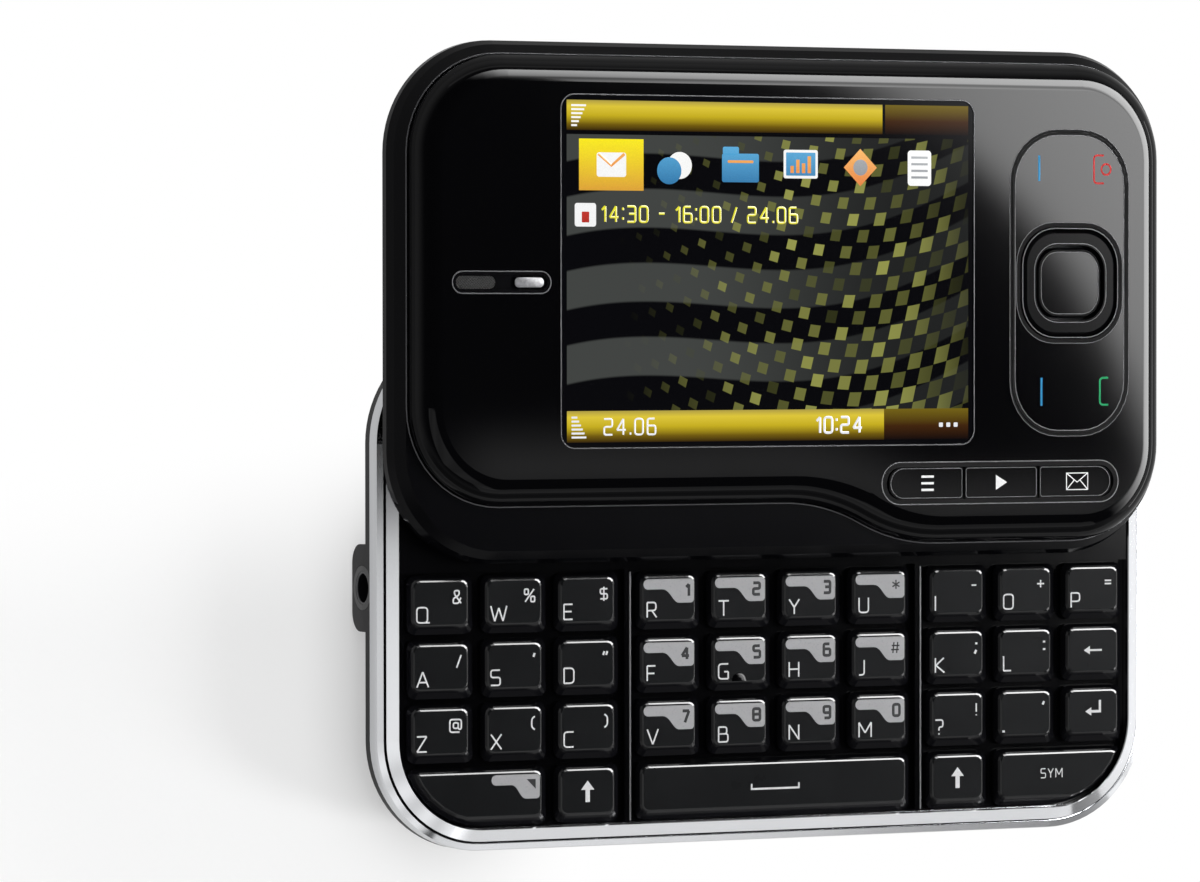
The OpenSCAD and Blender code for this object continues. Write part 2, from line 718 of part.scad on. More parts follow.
// Points of a rounded rectangle about a centre
function rounded_points(centre, w, h, r, steps = 3) = [
    for (i = [0 : 3])
        let (corner = centre + [(i == 0 || i == 3 ? -1 : 1) * (w / 2 - r), (i < 2 ? -1 : 1) * (h / 2 - r)])
        for (step = [0 : steps])
            corner + r * [cos(180 + 90 * (i + step / steps)), sin(180 + 90 * (i + step / steps))]
];

// Keeps the child of a corner key inside the deck's round corners, drawn in by inset
module inside_deck(k, inset) {
    corner_key = k[1] == rows - 1 && k[3] == 2;
    intersection() {
        children();
        if (corner_key)
            polygon(rounded_points([0, 0], deck_w - 2 * inset, 2 * (deck_edge_y - inset), deck_r - inset, 8));
    }
}

// Outline of a key's stem: reach widens it for the tabs, gap for the hole in the deck
module stem_outline(k, reach, gap) {
    w = foot_w(k) - stem_less + 2 * (reach + gap);
    h = foot_len - stem_less + 2 * gap;
    inside_deck(k, ledge_w + stem_gap * 3 - gap)
        translate([key_x(k), key_y(k)]) square([w, h], center = true);
}

module key_deck() {
    color([0.05, 0.05, 0.06]) {
        difference() {
            translate([0, 0, deck_under]) linear_extrude(deck_z - deck_under) phone_outline(frame_inner);
            // field of the keys
            translate([-phone_w / 2, -phone_h / 2, field_z])
                cube([phone_w, phone_h / 2 + field_top_y, frame_h]);
            for (k = keys)
                translate([0, 0, deck_under - deck_t]) linear_extrude(3 * deck_t)
                    stem_outline(k, 0, stem_gap);
        }
        // ribs beside the middle group
        for (c = [2, 6])
            translate([(column_x(c) + column_x(c + 1) - rib_w) / 2, -deck_edge_y + key_gap_y / 2, deck_under])
                cube([rib_w, keypad_h - key_gap_y / 2, deck_t + rib_h]);
    }
}

// Slice of a key, trimmed on each side of its foot by trim and moved by shift. The slice of a
// corner key follows the deck's round corner.
module key_slice(k, z, thick, trim, shift, r) {
    centre = [key_x(k) + face_shift_x / 2, key_y(k)] + shift;
    translate([0, 0, z]) linear_extrude(thick) inside_deck(k, corner_key_gap + (trim.x + trim.y) / 2)
        polygon(rounded_points(centre, foot_w(k) - 2 * trim.x, foot_len - 2 * trim.y, r));
}

// One key: face on sloping sides, foot, stem through the deck, and the tabs that hold it there
module key_cap(k) {
    trim = [face_less_x, face_less_y] / 2;
    shift = [-face_shift_x, face_shift_y];
    color([0.16, 0.16, 0.17]) {
        hull() {
            key_slice(k, foot_z + foot_h - e, e, [0, 0], [0, 0], foot_r);
            key_slice(k, key_top - face_bevel, e, trim - face_bevel * [1, 1], shift, face_r + face_bevel);
            key_slice(k, key_top - face_crown, e, trim - face_crown * [1, 1], shift, face_r);
            key_slice(k, key_top - e, e, trim + face_crown * [1, 1], shift, face_r);
        }
        key_slice(k, foot_z, foot_h, [0, 0], [0, 0], foot_r);
        translate([0, 0, tab_z]) linear_extrude(foot_z - tab_z + foot_h / 2) stem_outline(k, 0, 0);
        translate([0, 0, tab_z]) linear_extrude(tab_t) stem_outline(k, tab_reach, 0);
    }
}

// Cut in the board round something on the left side
module board_notch(depth, w) {
    translate([-phone_w / 2, jack_y - w / 2 - board_gap, 0])
        cube([depth + board_gap, w + 2 * board_gap, frame_top]);
}

module main_board() {
    color([0.1, 0.32, 0.18]) {
        difference() {
            translate([0, 0, board_z]) linear_extrude(board_t)
                phone_outline(frame_band + ledge_w + board_gap);
            board_notch(jack_depth + jack_end, jack_body_w);
            board_notch(boss_depth, boss_w);
            translate([camera_x, camera_y, 0]) cylinder(r = camera_r + board_gap, h = frame_top);
        }
        for (k = keys)
            translate([key_x(k), key_y(k), board_top - e]) cylinder(r = dome_r, h = dome_h + e);
    }
    // data socket, open at the right end
    color([0.75, 0.75, 0.77]) translate([phone_w / 2 - port_inset - port_depth, 0, port_z]) difference() {
        translate([0, -port_w / 2, -port_h / 2]) cube([port_depth, port_w, port_h + e]);
        translate([3 * port_wall, port_wall - port_w / 2, port_wall - port_h / 2])
            cube([port_depth, port_w - 2 * port_wall, port_h - 2 * port_wall]);
    }
}

// Block on the deck, as long as a rail, about x
module rail_block(x, z, w, h) {
    translate([x - w / 2, rail_end_y - rail_len, z]) cube([w, rail_len, h]);
}

// Carrier plate with the two T-shaped rails on it
module slide_rails() {
    color([0.7, 0.71, 0.73]) {
        rail_block(0, deck_z, 2 * rail_x + rail_foot_w, rail_foot_t);
        for (x = [-rail_x, rail_x]) {
            rail_block(x, deck_z, rail_neck_w, head_z + rail_head_t - deck_z);
            rail_block(x, head_z, rail_head_w, rail_head_t);
        }
    }
}

module audio_jack() {
    color([0.04, 0.04, 0.05]) difference() {
        union() {
            jack_bar(jack_collar_r, collar_len + e);
            jack_body();
        }
        jack_bar(jack_r, jack_depth, -e);
        // the frame flattens the collar's top, and the dome over it that of the body
        translate([-phone_w / 2 - e, jack_y - boss_w / 2, shell_h]) cube([boss_depth, boss_w, frame_h]);
        translate([collar_len - phone_w / 2 + e, jack_y - boss_w / 2, board_top - stop_gap])
            cube([jack_body_len, boss_w, frame_h]);
    }
}

module camera_module() {
    color([0.1, 0.1, 0.12]) translate([camera_x, camera_y, 0]) {
        difference() {
            translate([0, 0, camera_sink]) cylinder(r = camera_r, h = board_z - camera_sink);
            translate([0, 0, camera_sink - e]) cylinder(r = camera_r - camera_ring, h = camera_recess + e);
        }
        translate([0, 0, camera_sink + camera_recess / 3]) cylinder(r = lens_r, h = camera_recess);
    }
}

// A side key: its button through the shell's wall, and the lip behind the wall
module side_key(x, w, lip_w) {
    color([0.12, 0.12, 0.13]) {
        translate([x, phone_h / 2 - lip_depth, side_key_z]) rotate([-90, 0, 0])
            bevelled_plate(w, side_key_h, side_key_h / 2 - side_key_flat, lip_depth + side_key_proud,
                side_key_bevel);
        translate([x - lip_w / 2, phone_h / 2 - lip_depth, side_key_z - side_key_h / 2 - side_key_lip / 2])
            cube([lip_w, side_key_lip_t, side_key_h + side_key_lip]);
    }
}

// ---------------------------------------------------------------- display half

module slider_back_plate() {
    slot_end = rail_end_y + rail_gap;
    slot_start = rail_end_y - rail_len - slide_travel - rail_gap;
    color([0.3, 0.31, 0.33]) on_slider() translate([0, 0, slider_z]) linear_extrude(back_plate_t)
        difference() {
            phone_outline(bezel_wall + plate_gap);
            for (side = [-1, 1])
                translate([side * rail_x - rail_neck_w / 2 - rail_gap, slot_start])
                    square([rail_neck_w + 2 * rail_gap, slot_end - slot_start]);
        }
}

// Section of the bezel's edge: upright side, slope, lip and the hollow above the back plate
module bezel_profile() {
    inner = bezel_edge + plate_gap;
    soft = 0.2;
    polygon([
        [soft, slider_z],
        [0, slider_z + soft],
        [0, slider_z + bezel_side_h],
        [bezel_slope / 3, chin_z - (chin_z - slider_z - bezel_side_h) / 2],
        [bezel_slope, chin_z],
        [inner, chin_z],
        [inner, bezel_floor],
        [bezel_wall, bezel_floor],
        [bezel_wall, slider_z]
    ]);
}

// Outline of the front panel, drawn in from its edge by inset: a wave joins the two levels
// of its lower edge
module panel_outline(inset = 0) {
    w = panel_w - 2 * inset;
    r = panel_r - inset;
    low = -panel_h / 2;
    translate([0, panel_step / 2]) rounded_rect(w, panel_h - panel_step - 2 * inset, r);
    intersection() {
        rounded_rect(w, panel_h - 2 * inset, r);
        union() {
            translate([wave_start + wave_run, 2 * low]) square([panel_w, panel_h]);
            intersection() {
                translate([wave_start + wave_run, low + wave_r]) circle(wave_r - inset, $fn = 180);
                translate([wave_start + wave_run / 2, 2 * low]) square([wave_run / 2, panel_h]);
            }
            difference() {
                translate([wave_start, low]) square([wave_run / 2, -low]);
                translate([wave_start, low + panel_step - wave_r]) circle(wave_r + inset, $fn = 180);
            }
        }
    }
}

panel_route = [
    ["line", wave_start + panel_w / 2 - panel_r],
    ["arc", wave_r, -wave_angle],
    ["arc", wave_r, wave_angle],
    ["line", panel_w / 2 - panel_r - wave_start - wave_run],
    ["arc", panel_r, 90],
    ["line", panel_h - 2 * panel_r],
    ["arc", panel_r, 90],
    ["line", panel_w - 2 * panel_r],
    ["arc", panel_r, 90],
    ["line", panel_h - panel_step - 2 * panel_r],
    ["arc", panel_r, 90]
];

// Section of the panel's edge: upright edge that rounds over into the flat front
module panel_edge_profile() {
    difference() {
        intersection() {
            translate([0, seat_z]) square([panel_edge_run, panel_top - seat_z]);
            translate([panel_edge_run, panel_top - panel_edge_r]) circle(panel_edge_r);
        }
        translate([panel_edge_run, panel_top - panel_edge_r]) circle(panel_edge_r - panel_t);
    }
}

module soft_place() {
    translate([soft_x, soft_y]) children();
}

module shortcut_outline(gap = 0) {
    translate([shortcut_x, shortcut_y])
        rounded_rect(shortcut_w - 2 * gap, shortcut_h - 2 * gap, shortcut_h / 2 - gap - e);
}

module ear_outline(grow = 0) {
    translate([ear_x, ear_y]) rounded_rect(ear_w + 2 * grow, ear_h + 2 * grow, ear_h / 2 + grow - e);
}

module front_panel() {
    color([0.03, 0.03, 0.035]) on_slider() difference() {
        union() {
            translate([panel_r - panel_w / 2, panel_step - panel_h / 2])
                sweep_along(panel_route) panel_edge_profile();
            translate([0, 0, plate_z]) linear_extrude(panel_t) difference() {
                panel_outline(panel_edge_run);
                translate([window_x, window_y])
                    rounded_rect(window_w - 2 * window_ledge, window_h - 2 * window_ledge,
                        window_r - window_ledge);
                soft_place() rounded_rect(soft_w + 2 * soft_gap, soft_h + 2 * soft_gap, soft_r + soft_gap);
                shortcut_outline();
                ear_outline(deck_gap);
            }
        }
        translate([window_x, window_y, panel_top - window_t]) linear_extrude(panel_t)
            rounded_rect(window_w + 2 * window_gap, window_h + 2 * window_gap, window_r + window_gap);
    }
}

module slider_bezel() {
    // pocket under the navigation ring, in the board that carries the domes
    pocket_w = ring_w + 2 * pad_gap;
    color([0.07, 0.07, 0.08]) on_slider() {
        difference() {
            union() {
                sweep_phone_edge() bezel_profile();
                translate([0, 0, bezel_floor]) linear_extrude(chin_z - bezel_floor) phone_outline(bezel_edge);
            }
            translate([0, 0, seat_z]) linear_extrude(panel_rise) panel_outline(-panel_gap);
        }
        difference() {
            translate([0, 0, seat_z - e]) linear_extrude(block_z - seat_z + e) {
                soft_place()
                    rounded_rect(soft_w - 2 * block_less, soft_h - 2 * block_less, soft_r - block_less);
                translate([shortcut_x, shortcut_y])
                    square([shortcut_w - 2 * block_less, shortcut_h - 2 * block_less], center = true);
            }
            translate([soft_x - pocket_w / 2, soft_y - pocket_w / 2, pad_pocket_z])
                cube([pocket_w, pocket_w, panel_rise]);
        }
    }
}

module display_window() {
    color([0.35, 0.33, 0.1]) on_slider() translate([window_x, window_y, panel_top - window_t])
        linear_extrude(window_t - window_gap) rounded_rect(window_w, window_h, window_r);
}

module display_module() {
    color([0.6, 0.61, 0.62]) on_slider() translate([window_x, window_y, seat_z])
        linear_extrude(plate_z - stop_gap - seat_z)
            rounded_rect(window_w + 2 * module_lap, window_h + 2 * module_lap, module_lap);
}

module earpiece_insert() {
    flange_z = plate_z - stop_gap - ear_flange_t;
    color([0.1, 0.1, 0.11]) on_slider() difference() {
        union() {
            translate([0, 0, flange_z]) linear_extrude(panel_top - stop_gap - flange_z) ear_outline();
            translate([0, 0, flange_z]) linear_extrude(ear_flange_t) ear_outline(ear_flange);
        }
        // recess, and the sound holes in its left half
        translate([0, 0, panel_top - ear_sink]) linear_extrude(panel_t) ear_outline(-ear_rim);
        for (i = [-2 : 2], j = [-0.5, 0.5])
            translate([ear_x - ear_w / 4 + i * hole_step, ear_y + j * hole_step, plate_z - panel_t])
                cylinder(r = hole_r, h = 3 * panel_t, $fn = 24);
    }
    // lens of the light sensor, in the right half
    color([0.3, 0.3, 0.3]) on_slider()
        translate([ear_x + ear_w / 2 - ear_rim - sensor_w / 2 - hole_r, ear_y, panel_top - ear_sink - e])
            linear_extrude(ear_sink * 3 / 4) rounded_rect(sensor_w, sensor_h, sensor_h / 2 - hole_r);
}

module softkey_plate() {
    color([0.03, 0.03, 0.035]) on_slider() translate([0, 0, plate_z + soft_lift])
        linear_extrude(front_key_top - plate_z - soft_lift) soft_place() difference() {
            rounded_rect(soft_w, soft_h, soft_r);
            rounded_rect(ring_w + 2 * soft_gap, ring_w + 2 * soft_gap, ring_r + soft_gap);
        }
}

module nav_pad() {
    color([0.2, 0.2, 0.22]) on_slider() translate([soft_x, soft_y, pad_z]) difference() {
        linear_extrude(pad_t) rounded_rect(ring_w - pad_less, ring_w - pad_less, ring_r - pad_less / 2);
        translate([0, 0, -e]) cylinder(r = pad_hole_r, h = pad_t + 2 * e);
    }
}

module nav_ring() {
    hole_w = middle_w + 2 * middle_gap;
    hole_h = middle_h + 2 * middle_gap;
    top = panel_top + ring_proud;
    color([0.1, 0.1, 0.11]) on_slider() translate([soft_x, soft_y, 0]) difference() {
        translate([0, 0, ring_z]) bevelled_plate(ring_w, ring_w, ring_r, top - ring_z, ring_slope);
        translate([0, 0, ring_z - e]) linear_extrude(top) rounded_rect(hole_w, hole_h, middle_r + middle_gap);
    }
}

module nav_center_key() {
    key_z = ring_z + middle_lift;
    color([0.04, 0.04, 0.05]) on_slider() translate([soft_x, soft_y, 0]) {
        translate([0, 0, key_z])
            bevelled_plate(middle_w, middle_h, middle_r, front_key_top - key_z, middle_bevel);
        translate([0, 0, pad_pocket_z + small_travel + stop_gap])
            cylinder(r = middle_stem_r, h = key_z - pad_pocket_z - small_travel);
    }
}

// Shortcut key number i, 0 at the left: its share of the opening's outline
module shortcut_key(i) {
    share = (shortcut_w - 2 * shortcut_gap) / 3;
    color([0.04, 0.04, 0.05]) on_slider() translate([0, 0, plate_z - shortcut_sink])
        linear_extrude(front_key_top - plate_z + shortcut_sink) intersection() {
            shortcut_outline(shortcut_gap);
            translate([shortcut_x + (i - 1) * share, shortcut_y])
                square([share - shortcut_gap, shortcut_h], center = true);
        }
}

front_panel();
slider_bezel();
slider_back_plate();
display_window();
display_module();
earpiece_insert();
softkey_plate();
nav_pad();
nav_ring();
nav_center_key();
shortcut_key(0);  // shortcut_key_left
shortcut_key(1);  // shortcut_key_middle
shortcut_key(2);  // shortcut_key_right
base_frame();
key_deck();
rear_shell();
battery_door();
battery();
main_board();
slide_rails();
side_key(volume_x, volume_w, rocker_lip_w);  // volume_rocker
side_key(shutter_x, shutter_w, shutter_w + 2 * side_key_lip);  // camera_key
side_key(power_x, power_w, power_w + 2 * side_key_lip);  // power_key
audio_jack();
camera_module();
for (k = keys) key_cap(k);
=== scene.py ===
"""Looks of a side-sliding keyboard phone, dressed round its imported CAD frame.

The phone lies on its back, slid open. Every size below is in millimetres in the frame's own
directions: X along the keyboard, Y towards the display half, Z out of the keys.
"""

from __future__ import annotations

import logging
import math
from dataclasses import dataclass, field
from enum import Enum
from typing import Sequence

import bmesh
import bpy
from mathutils import Matrix, Vector

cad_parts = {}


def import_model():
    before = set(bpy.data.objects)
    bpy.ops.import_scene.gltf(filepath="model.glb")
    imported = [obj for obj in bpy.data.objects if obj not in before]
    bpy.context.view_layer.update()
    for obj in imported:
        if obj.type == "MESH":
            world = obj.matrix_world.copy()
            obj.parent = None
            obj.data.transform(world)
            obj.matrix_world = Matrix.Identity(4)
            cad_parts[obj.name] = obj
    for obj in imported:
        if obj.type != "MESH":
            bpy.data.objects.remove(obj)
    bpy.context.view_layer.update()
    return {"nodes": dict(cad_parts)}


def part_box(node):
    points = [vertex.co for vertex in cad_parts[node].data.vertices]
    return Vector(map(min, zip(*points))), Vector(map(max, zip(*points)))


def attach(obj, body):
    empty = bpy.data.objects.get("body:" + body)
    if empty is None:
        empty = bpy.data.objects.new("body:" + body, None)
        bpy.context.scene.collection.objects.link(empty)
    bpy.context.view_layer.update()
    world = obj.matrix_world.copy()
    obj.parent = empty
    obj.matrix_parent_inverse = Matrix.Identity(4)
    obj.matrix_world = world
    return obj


LOG = logging.getLogger("slider_phone")
MM = 0.001
PRINT = 0.02  # thickness of a print, and of the lit shapes on the display
SLIDE = 32.0  # how far the open display half lies from its closed place, along Y
Colour = tuple[float, float, float]
Space = tuple[float, float, float]
Point = tuple[float, float]
Rows = Sequence[Sequence[float]]
Object = bpy.types.Object
Curve = bpy.types.Curve
Material = bpy.types.Material
Socket = bpy.types.NodeSocket
BLACK: Colour = (0.0, 0.0, 0.0)
WHITE: Colour = (1.0, 1.0, 1.0)


# ------------------------------------------------------------------ shader nodes


class Wire:
    """A value in a material. Python's operators on it add Math nodes."""

    def __init__(self, graph: Graph, socket: Socket) -> None:
        """Holds one output socket of a graph."""
        self.graph = graph
        self.socket = socket

    def math(self, operation: str, *others: Wire | float, swap: bool = False) -> Wire:
        """Adds one Math node.

        Args:
            operation: Blender's name of the operation.
            others: further operands.
            swap: whether this wire is the last operand instead of the first.

        Returns:
            The result.
        """
        terms = [*others, self] if swap else [self, *others]
        made = self.graph.node("Math", {"operation": operation}, dict(enumerate(terms)))
        return Wire(self.graph, made.outputs[0])

    def __add__(self, other: Wire | float) -> Wire:
        """Sum."""
        return self.math("ADD", other)

    __radd__ = __add__

    def __mul__(self, other: Wire | float) -> Wire:
        """Product."""
        return self.math("MULTIPLY", other)

    __rmul__ = __mul__

    def __sub__(self, other: Wire | float) -> Wire:
        """Difference."""
        return self.math("SUBTRACT", other)

    def __rsub__(self, other: float) -> Wire:
        """Difference from a number."""
        return self.math("SUBTRACT", other, swap=True)

    def __truediv__(self, other: Wire | float) -> Wire:
        """Quotient."""
        return self.math("DIVIDE", other)

    def __pow__(self, other: float) -> Wire:
        """Power."""
        return self.math("POWER", other)

    def above(self, level: float) -> Wire:
        """1 where this is over level, and 0 elsewhere."""
        return self.math("GREATER_THAN", level)

    def below(self, level: Wire | float) -> Wire:
        """1 where this is under level, and 0 elsewhere."""
        return self.math("LESS_THAN", level)

    def smooth(self, low: float, high: float) -> Wire:
        """Rises softly from 0 at low to 1 at high.

        Args:
            low: value at which the result is 0.
            high: value at which it is 1, which may be the smaller of the two.

        Returns:
            The result.
        """
        terms = {0: self, 1: low, 2: high}
        made = self.graph.node("MapRange", {"interpolation_type": "SMOOTHSTEP"}, terms)
        return Wire(self.graph, made.outputs[0])


class Graph:
    """The nodes of one material or world."""

    def __init__(self, owner: Material | bpy.types.World) -> None:
        """Empties the owner's node tree.

        Args:
            owner: the material or world that gets the nodes.
        """
        owner.use_nodes = True
        self.tree = owner.node_tree
        self.tree.nodes.clear()

    def node(self, kind: str, settings: dict | None = None, inputs: dict | None = None) -> bpy.types.Node:
        """Adds a node.

        Args:
            kind: Blender's name of the node type, after ShaderNode.
            settings: its properties; stops fills a colour ramp.
            inputs: values or links of its sockets, by name or number.

        Returns:
            The new node.
        """
        made = self.tree.nodes.new(f"ShaderNode{kind}")
        for name, value in (settings or {}).items():
            if name == "stops":
                ramp = made.color_ramp
                while len(ramp.elements) < len(value):
                    ramp.elements.new(0.5)
                for element, (place, colour) in zip(ramp.elements, value):
                    element.position = place
                    element.color = (*colour, 1.0)
            else:
                setattr(made, name, value)
        for key, value in (inputs or {}).items():
            if isinstance(value, Wire):
                self.tree.links.new(value.socket, made.inputs[key])
            elif isinstance(value, Socket):
                self.tree.links.new(value, made.inputs[key])
            elif isinstance(value, tuple) and len(value) == 3 and made.inputs[key].type == "RGBA":
                made.inputs[key].default_value = (*value, 1.0)
            else:
                made.inputs[key].default_value = value
        return made

    def place(self, stretch: Space = (1.0, 1.0, 1.0)) -> Socket:
        """The point on the piece in millimetres, stretched along each axis."""
        coords = self.node("TexCoord").outputs["Object"]
        return self.times(coords, tuple(s / MM for s in stretch))

    def times(self, first: Socket, second: Socket | Space) -> Socket:
        """Product of two vectors, part by part."""
        return self.node("VectorMath", {"operation": "MULTIPLY"}, {0: first, 1: second}).outputs[0]

    def split(self, vector: Socket) -> tuple[Wire, Wire, Wire]:
        """The three parts of a vector."""
        return tuple(Wire(self, out) for out in self.node("SeparateXYZ", None, {0: vector}).outputs)

    def noise(self, place: Socket, size: float, detail: float = 2.0) -> Wire:
        """Soft noise from 0 to 1 whose blots are about size across."""
        inputs = {"Vector": place, "Scale": 1.0 / size, "Detail": detail}
        return Wire(self, self.node("TexNoise", None, inputs).outputs[0])

    def mix(self, share: Wire | float, first: object, second: object) -> Socket:
        """Colour between first and second."""
        return self.node("Mix", {"data_type": "RGBA"}, {0: share, 6: first, 7: second}).outputs[2]

    def ramp(self, value: Wire, stops: Sequence[tuple[float, Colour]]) -> Socket:
        """Colour of a value on a ramp."""
        return self.node("ValToRGB", {"stops": list(stops)}, {0: value}).outputs[0]

    def same(self, value: Wire) -> Socket:
        """A vector with this value in all three parts."""
        return self.node("CombineXYZ", None, {0: value, 1: value, 2: value}).outputs[0]

    def bump(self, height: Wire, depth: float) -> Socket:
        """Normal of a relief that is depth deep."""
        return self.node("Bump", None, {"Height": height, "Distance": depth * MM}).outputs[0]

    def surface(self, inputs: dict) -> None:
        """Ends the graph in a Principled shader with these inputs."""
        self.end(self.node("BsdfPrincipled", None, inputs).outputs[0])

    def end(self, shader: Socket, kind: str = "OutputMaterial") -> None:
        """Links a shader to the graph's output."""
        self.node(kind, None, {"Surface": shader})


# ------------------------------------------------------------------ finishes


@dataclass(frozen=True)
class Surface:
    """A material with one Principled shader."""

    name: str

    def inputs(self, graph: Graph) -> dict:
        """The shader's inputs, which each kind of surface tells."""
        raise NotImplementedError

    def build(self) -> Material:
        """Makes the material.

        Returns:
            The material.
        """
        material = bpy.data.materials.new(self.name)
        graph = Graph(material)
        graph.surface(self.inputs(graph))
        return material


@dataclass(frozen=True)
class Finish(Surface):
    """A moulded, coated or rolled surface with its grain, smudges and slight drift of colour."""

    colour: Colour
    roughness: float
    metallic: float = 0.0
    coat: float = 0.0
    shine: float = 0.5
    smudge: float = 0.2
    smudge_size: float = 9.0
    grain_size: float = 0.0
    grain_depth: float = 0.0
    grain_stretch: Space = (1.0, 1.0, 1.0)
    drift: float = 0.12

    def drifted(self, graph: Graph, place: Socket) -> Socket:
        """The colour, wandering a little over the surface.

        Args:
            graph: the material's graph.
            place: the point on the piece.

        Returns:
            The colour.
        """
        dark = tuple(c * (1 - self.drift) for c in self.colour)
        pale = tuple(min(1.0, c * (1 + self.drift)) for c in self.colour)
        return graph.mix(graph.noise(place, self.smudge_size * 1.7), dark, pale)

    def rough(self, graph: Graph, place: Socket) -> Wire:
        """The roughness, with smudges."""
        low = self.roughness * (1 - self.smudge)
        return graph.noise(place, self.smudge_size, 4.0) * (2 * self.roughness * self.smudge) + low

    def inputs(self, graph: Graph) -> dict:
        """The shader's inputs.

        Args:
            graph: the material's graph.

        Returns:
            Each input's value or link, by its socket's name.
        """
        place = graph.place()
        made = {
            "Base Color": self.drifted(graph, place),
            "Roughness": self.rough(graph, place),
            "Metallic": self.metallic,
            "Coat Weight": self.coat,
            "Coat Roughness": 0.03,
            "Specular IOR Level": self.shine,
        }
        if self.grain_depth:
            grain = graph.noise(graph.place(self.grain_stretch), self.grain_size, 3.0)
            made["Normal"] = graph.bump(grain, self.grain_depth)
        return made


@dataclass(frozen=True)
class KeyFinish(Finish):
    """Key cap: matt grained face, bright upper edges and glossy dark skirts, told apart by height."""

    face_z: float = 8.72
    face_fade: float = 0.16
    edge_z: float = 8.48
    edge_fade: float = 0.08
    top_z: float = 8.8  # the cap's flat, which has no coat
    edge_coat: float = 0.6
    skirt_coat: float = 0.16
    skirt_roughness: float = 0.1
    skirt_colour: Colour = (0.004, 0.004, 0.005)

    def inputs(self, graph: Graph) -> dict:
        """The shader's inputs.

        Args:
            graph: the material's graph.

        Returns:
            Each input's value or link, by its socket's name.
        """
        made = super().inputs(graph)
        height = graph.split(graph.place())[2]
        face = height.smooth(self.face_z - self.face_fade, self.face_z)
        edge = height.smooth(self.edge_z, self.edge_z + self.edge_fade)
        top = height.smooth(self.top_z - 0.015, self.top_z - 0.004)
        coat = edge * (self.edge_coat - self.skirt_coat) + self.skirt_coat
        made["Base Color"] = graph.mix(face, self.skirt_colour, made["Base Color"])
        made["Roughness"] = face * (made["Roughness"] - self.skirt_roughness) + self.skirt_roughness
        made["Coat Weight"] = coat * (1.0 - top)
        made["Coat Roughness"] = 0.12
        return made


@dataclass(frozen=True)
class FrameFinish(Finish):
    """Satin chrome on the frame, with brushing too fine to see one by one."""

    def inputs(self, graph: Graph) -> dict:
        """The shader's inputs.

        Args:
            graph: the material's graph.

        Returns:
            Each input's value or link, by its socket's name.
        """
        made = super().inputs(graph)
        fine = graph.noise(graph.place((1.0, 1.0, 6.0)), 0.22, 2.0)
        made["Roughness"] = fine * 0.05 + made["Roughness"]
        return made


@dataclass(frozen=True)
class LitFinish(Surface):
    """A lit part of the display: it glows, and its colour runs from top to bottom."""

    top: Colour
    bottom: Colour
    y_top: float
    y_bottom: float

    def inputs(self, graph: Graph) -> dict:
        """The shader's inputs.

        Args:
            graph: the material's graph.

        Returns:
            Each input's value or link, by its socket's name.
        """
        place = graph.place()
        share = (graph.split(place)[1] - self.y_bottom) / (self.y_top - self.y_bottom)
        dots = graph.same(graph.noise(place, 0.12, 0.0) * 0.16 + 0.92)
        return {
            "Base Color": (0.01, 0.01, 0.01),
            "Roughness": 0.08,
            "Emission Color": graph.times(graph.mix(share, self.bottom, self.top), dots),
            "Emission Strength": 1.0,
        }


@dataclass(frozen=True)
class PrintFinish(Surface):
    """Printed ink: matt, a little uneven in its cover, with an optional painted glow."""

    colour: Colour
    roughness: float = 0.45
    # glow is a painted glow: the ink gives off a little light in its own colour.
    glow: float = 0.0

    def inputs(self, graph: Graph) -> dict:
        """The shader's inputs.

        Args:
            graph: the material's graph.

        Returns:
            Each input's value or link, by its socket's name.
        """
        place = graph.place()
        cover = graph.noise(place, 0.25, 3.0).smooth(0.1, 0.5)
        ink = graph.mix(cover, tuple(c * 0.8 for c in self.colour), self.colour)
        made = {
            "Base Color": ink,
            "Roughness": graph.noise(place, 0.4) * 0.12 + self.roughness,
            "Specular IOR Level": 0.12,
            "Emission Strength": self.glow,
        }
        if self.glow:
            made["Emission Color"] = ink
        return made


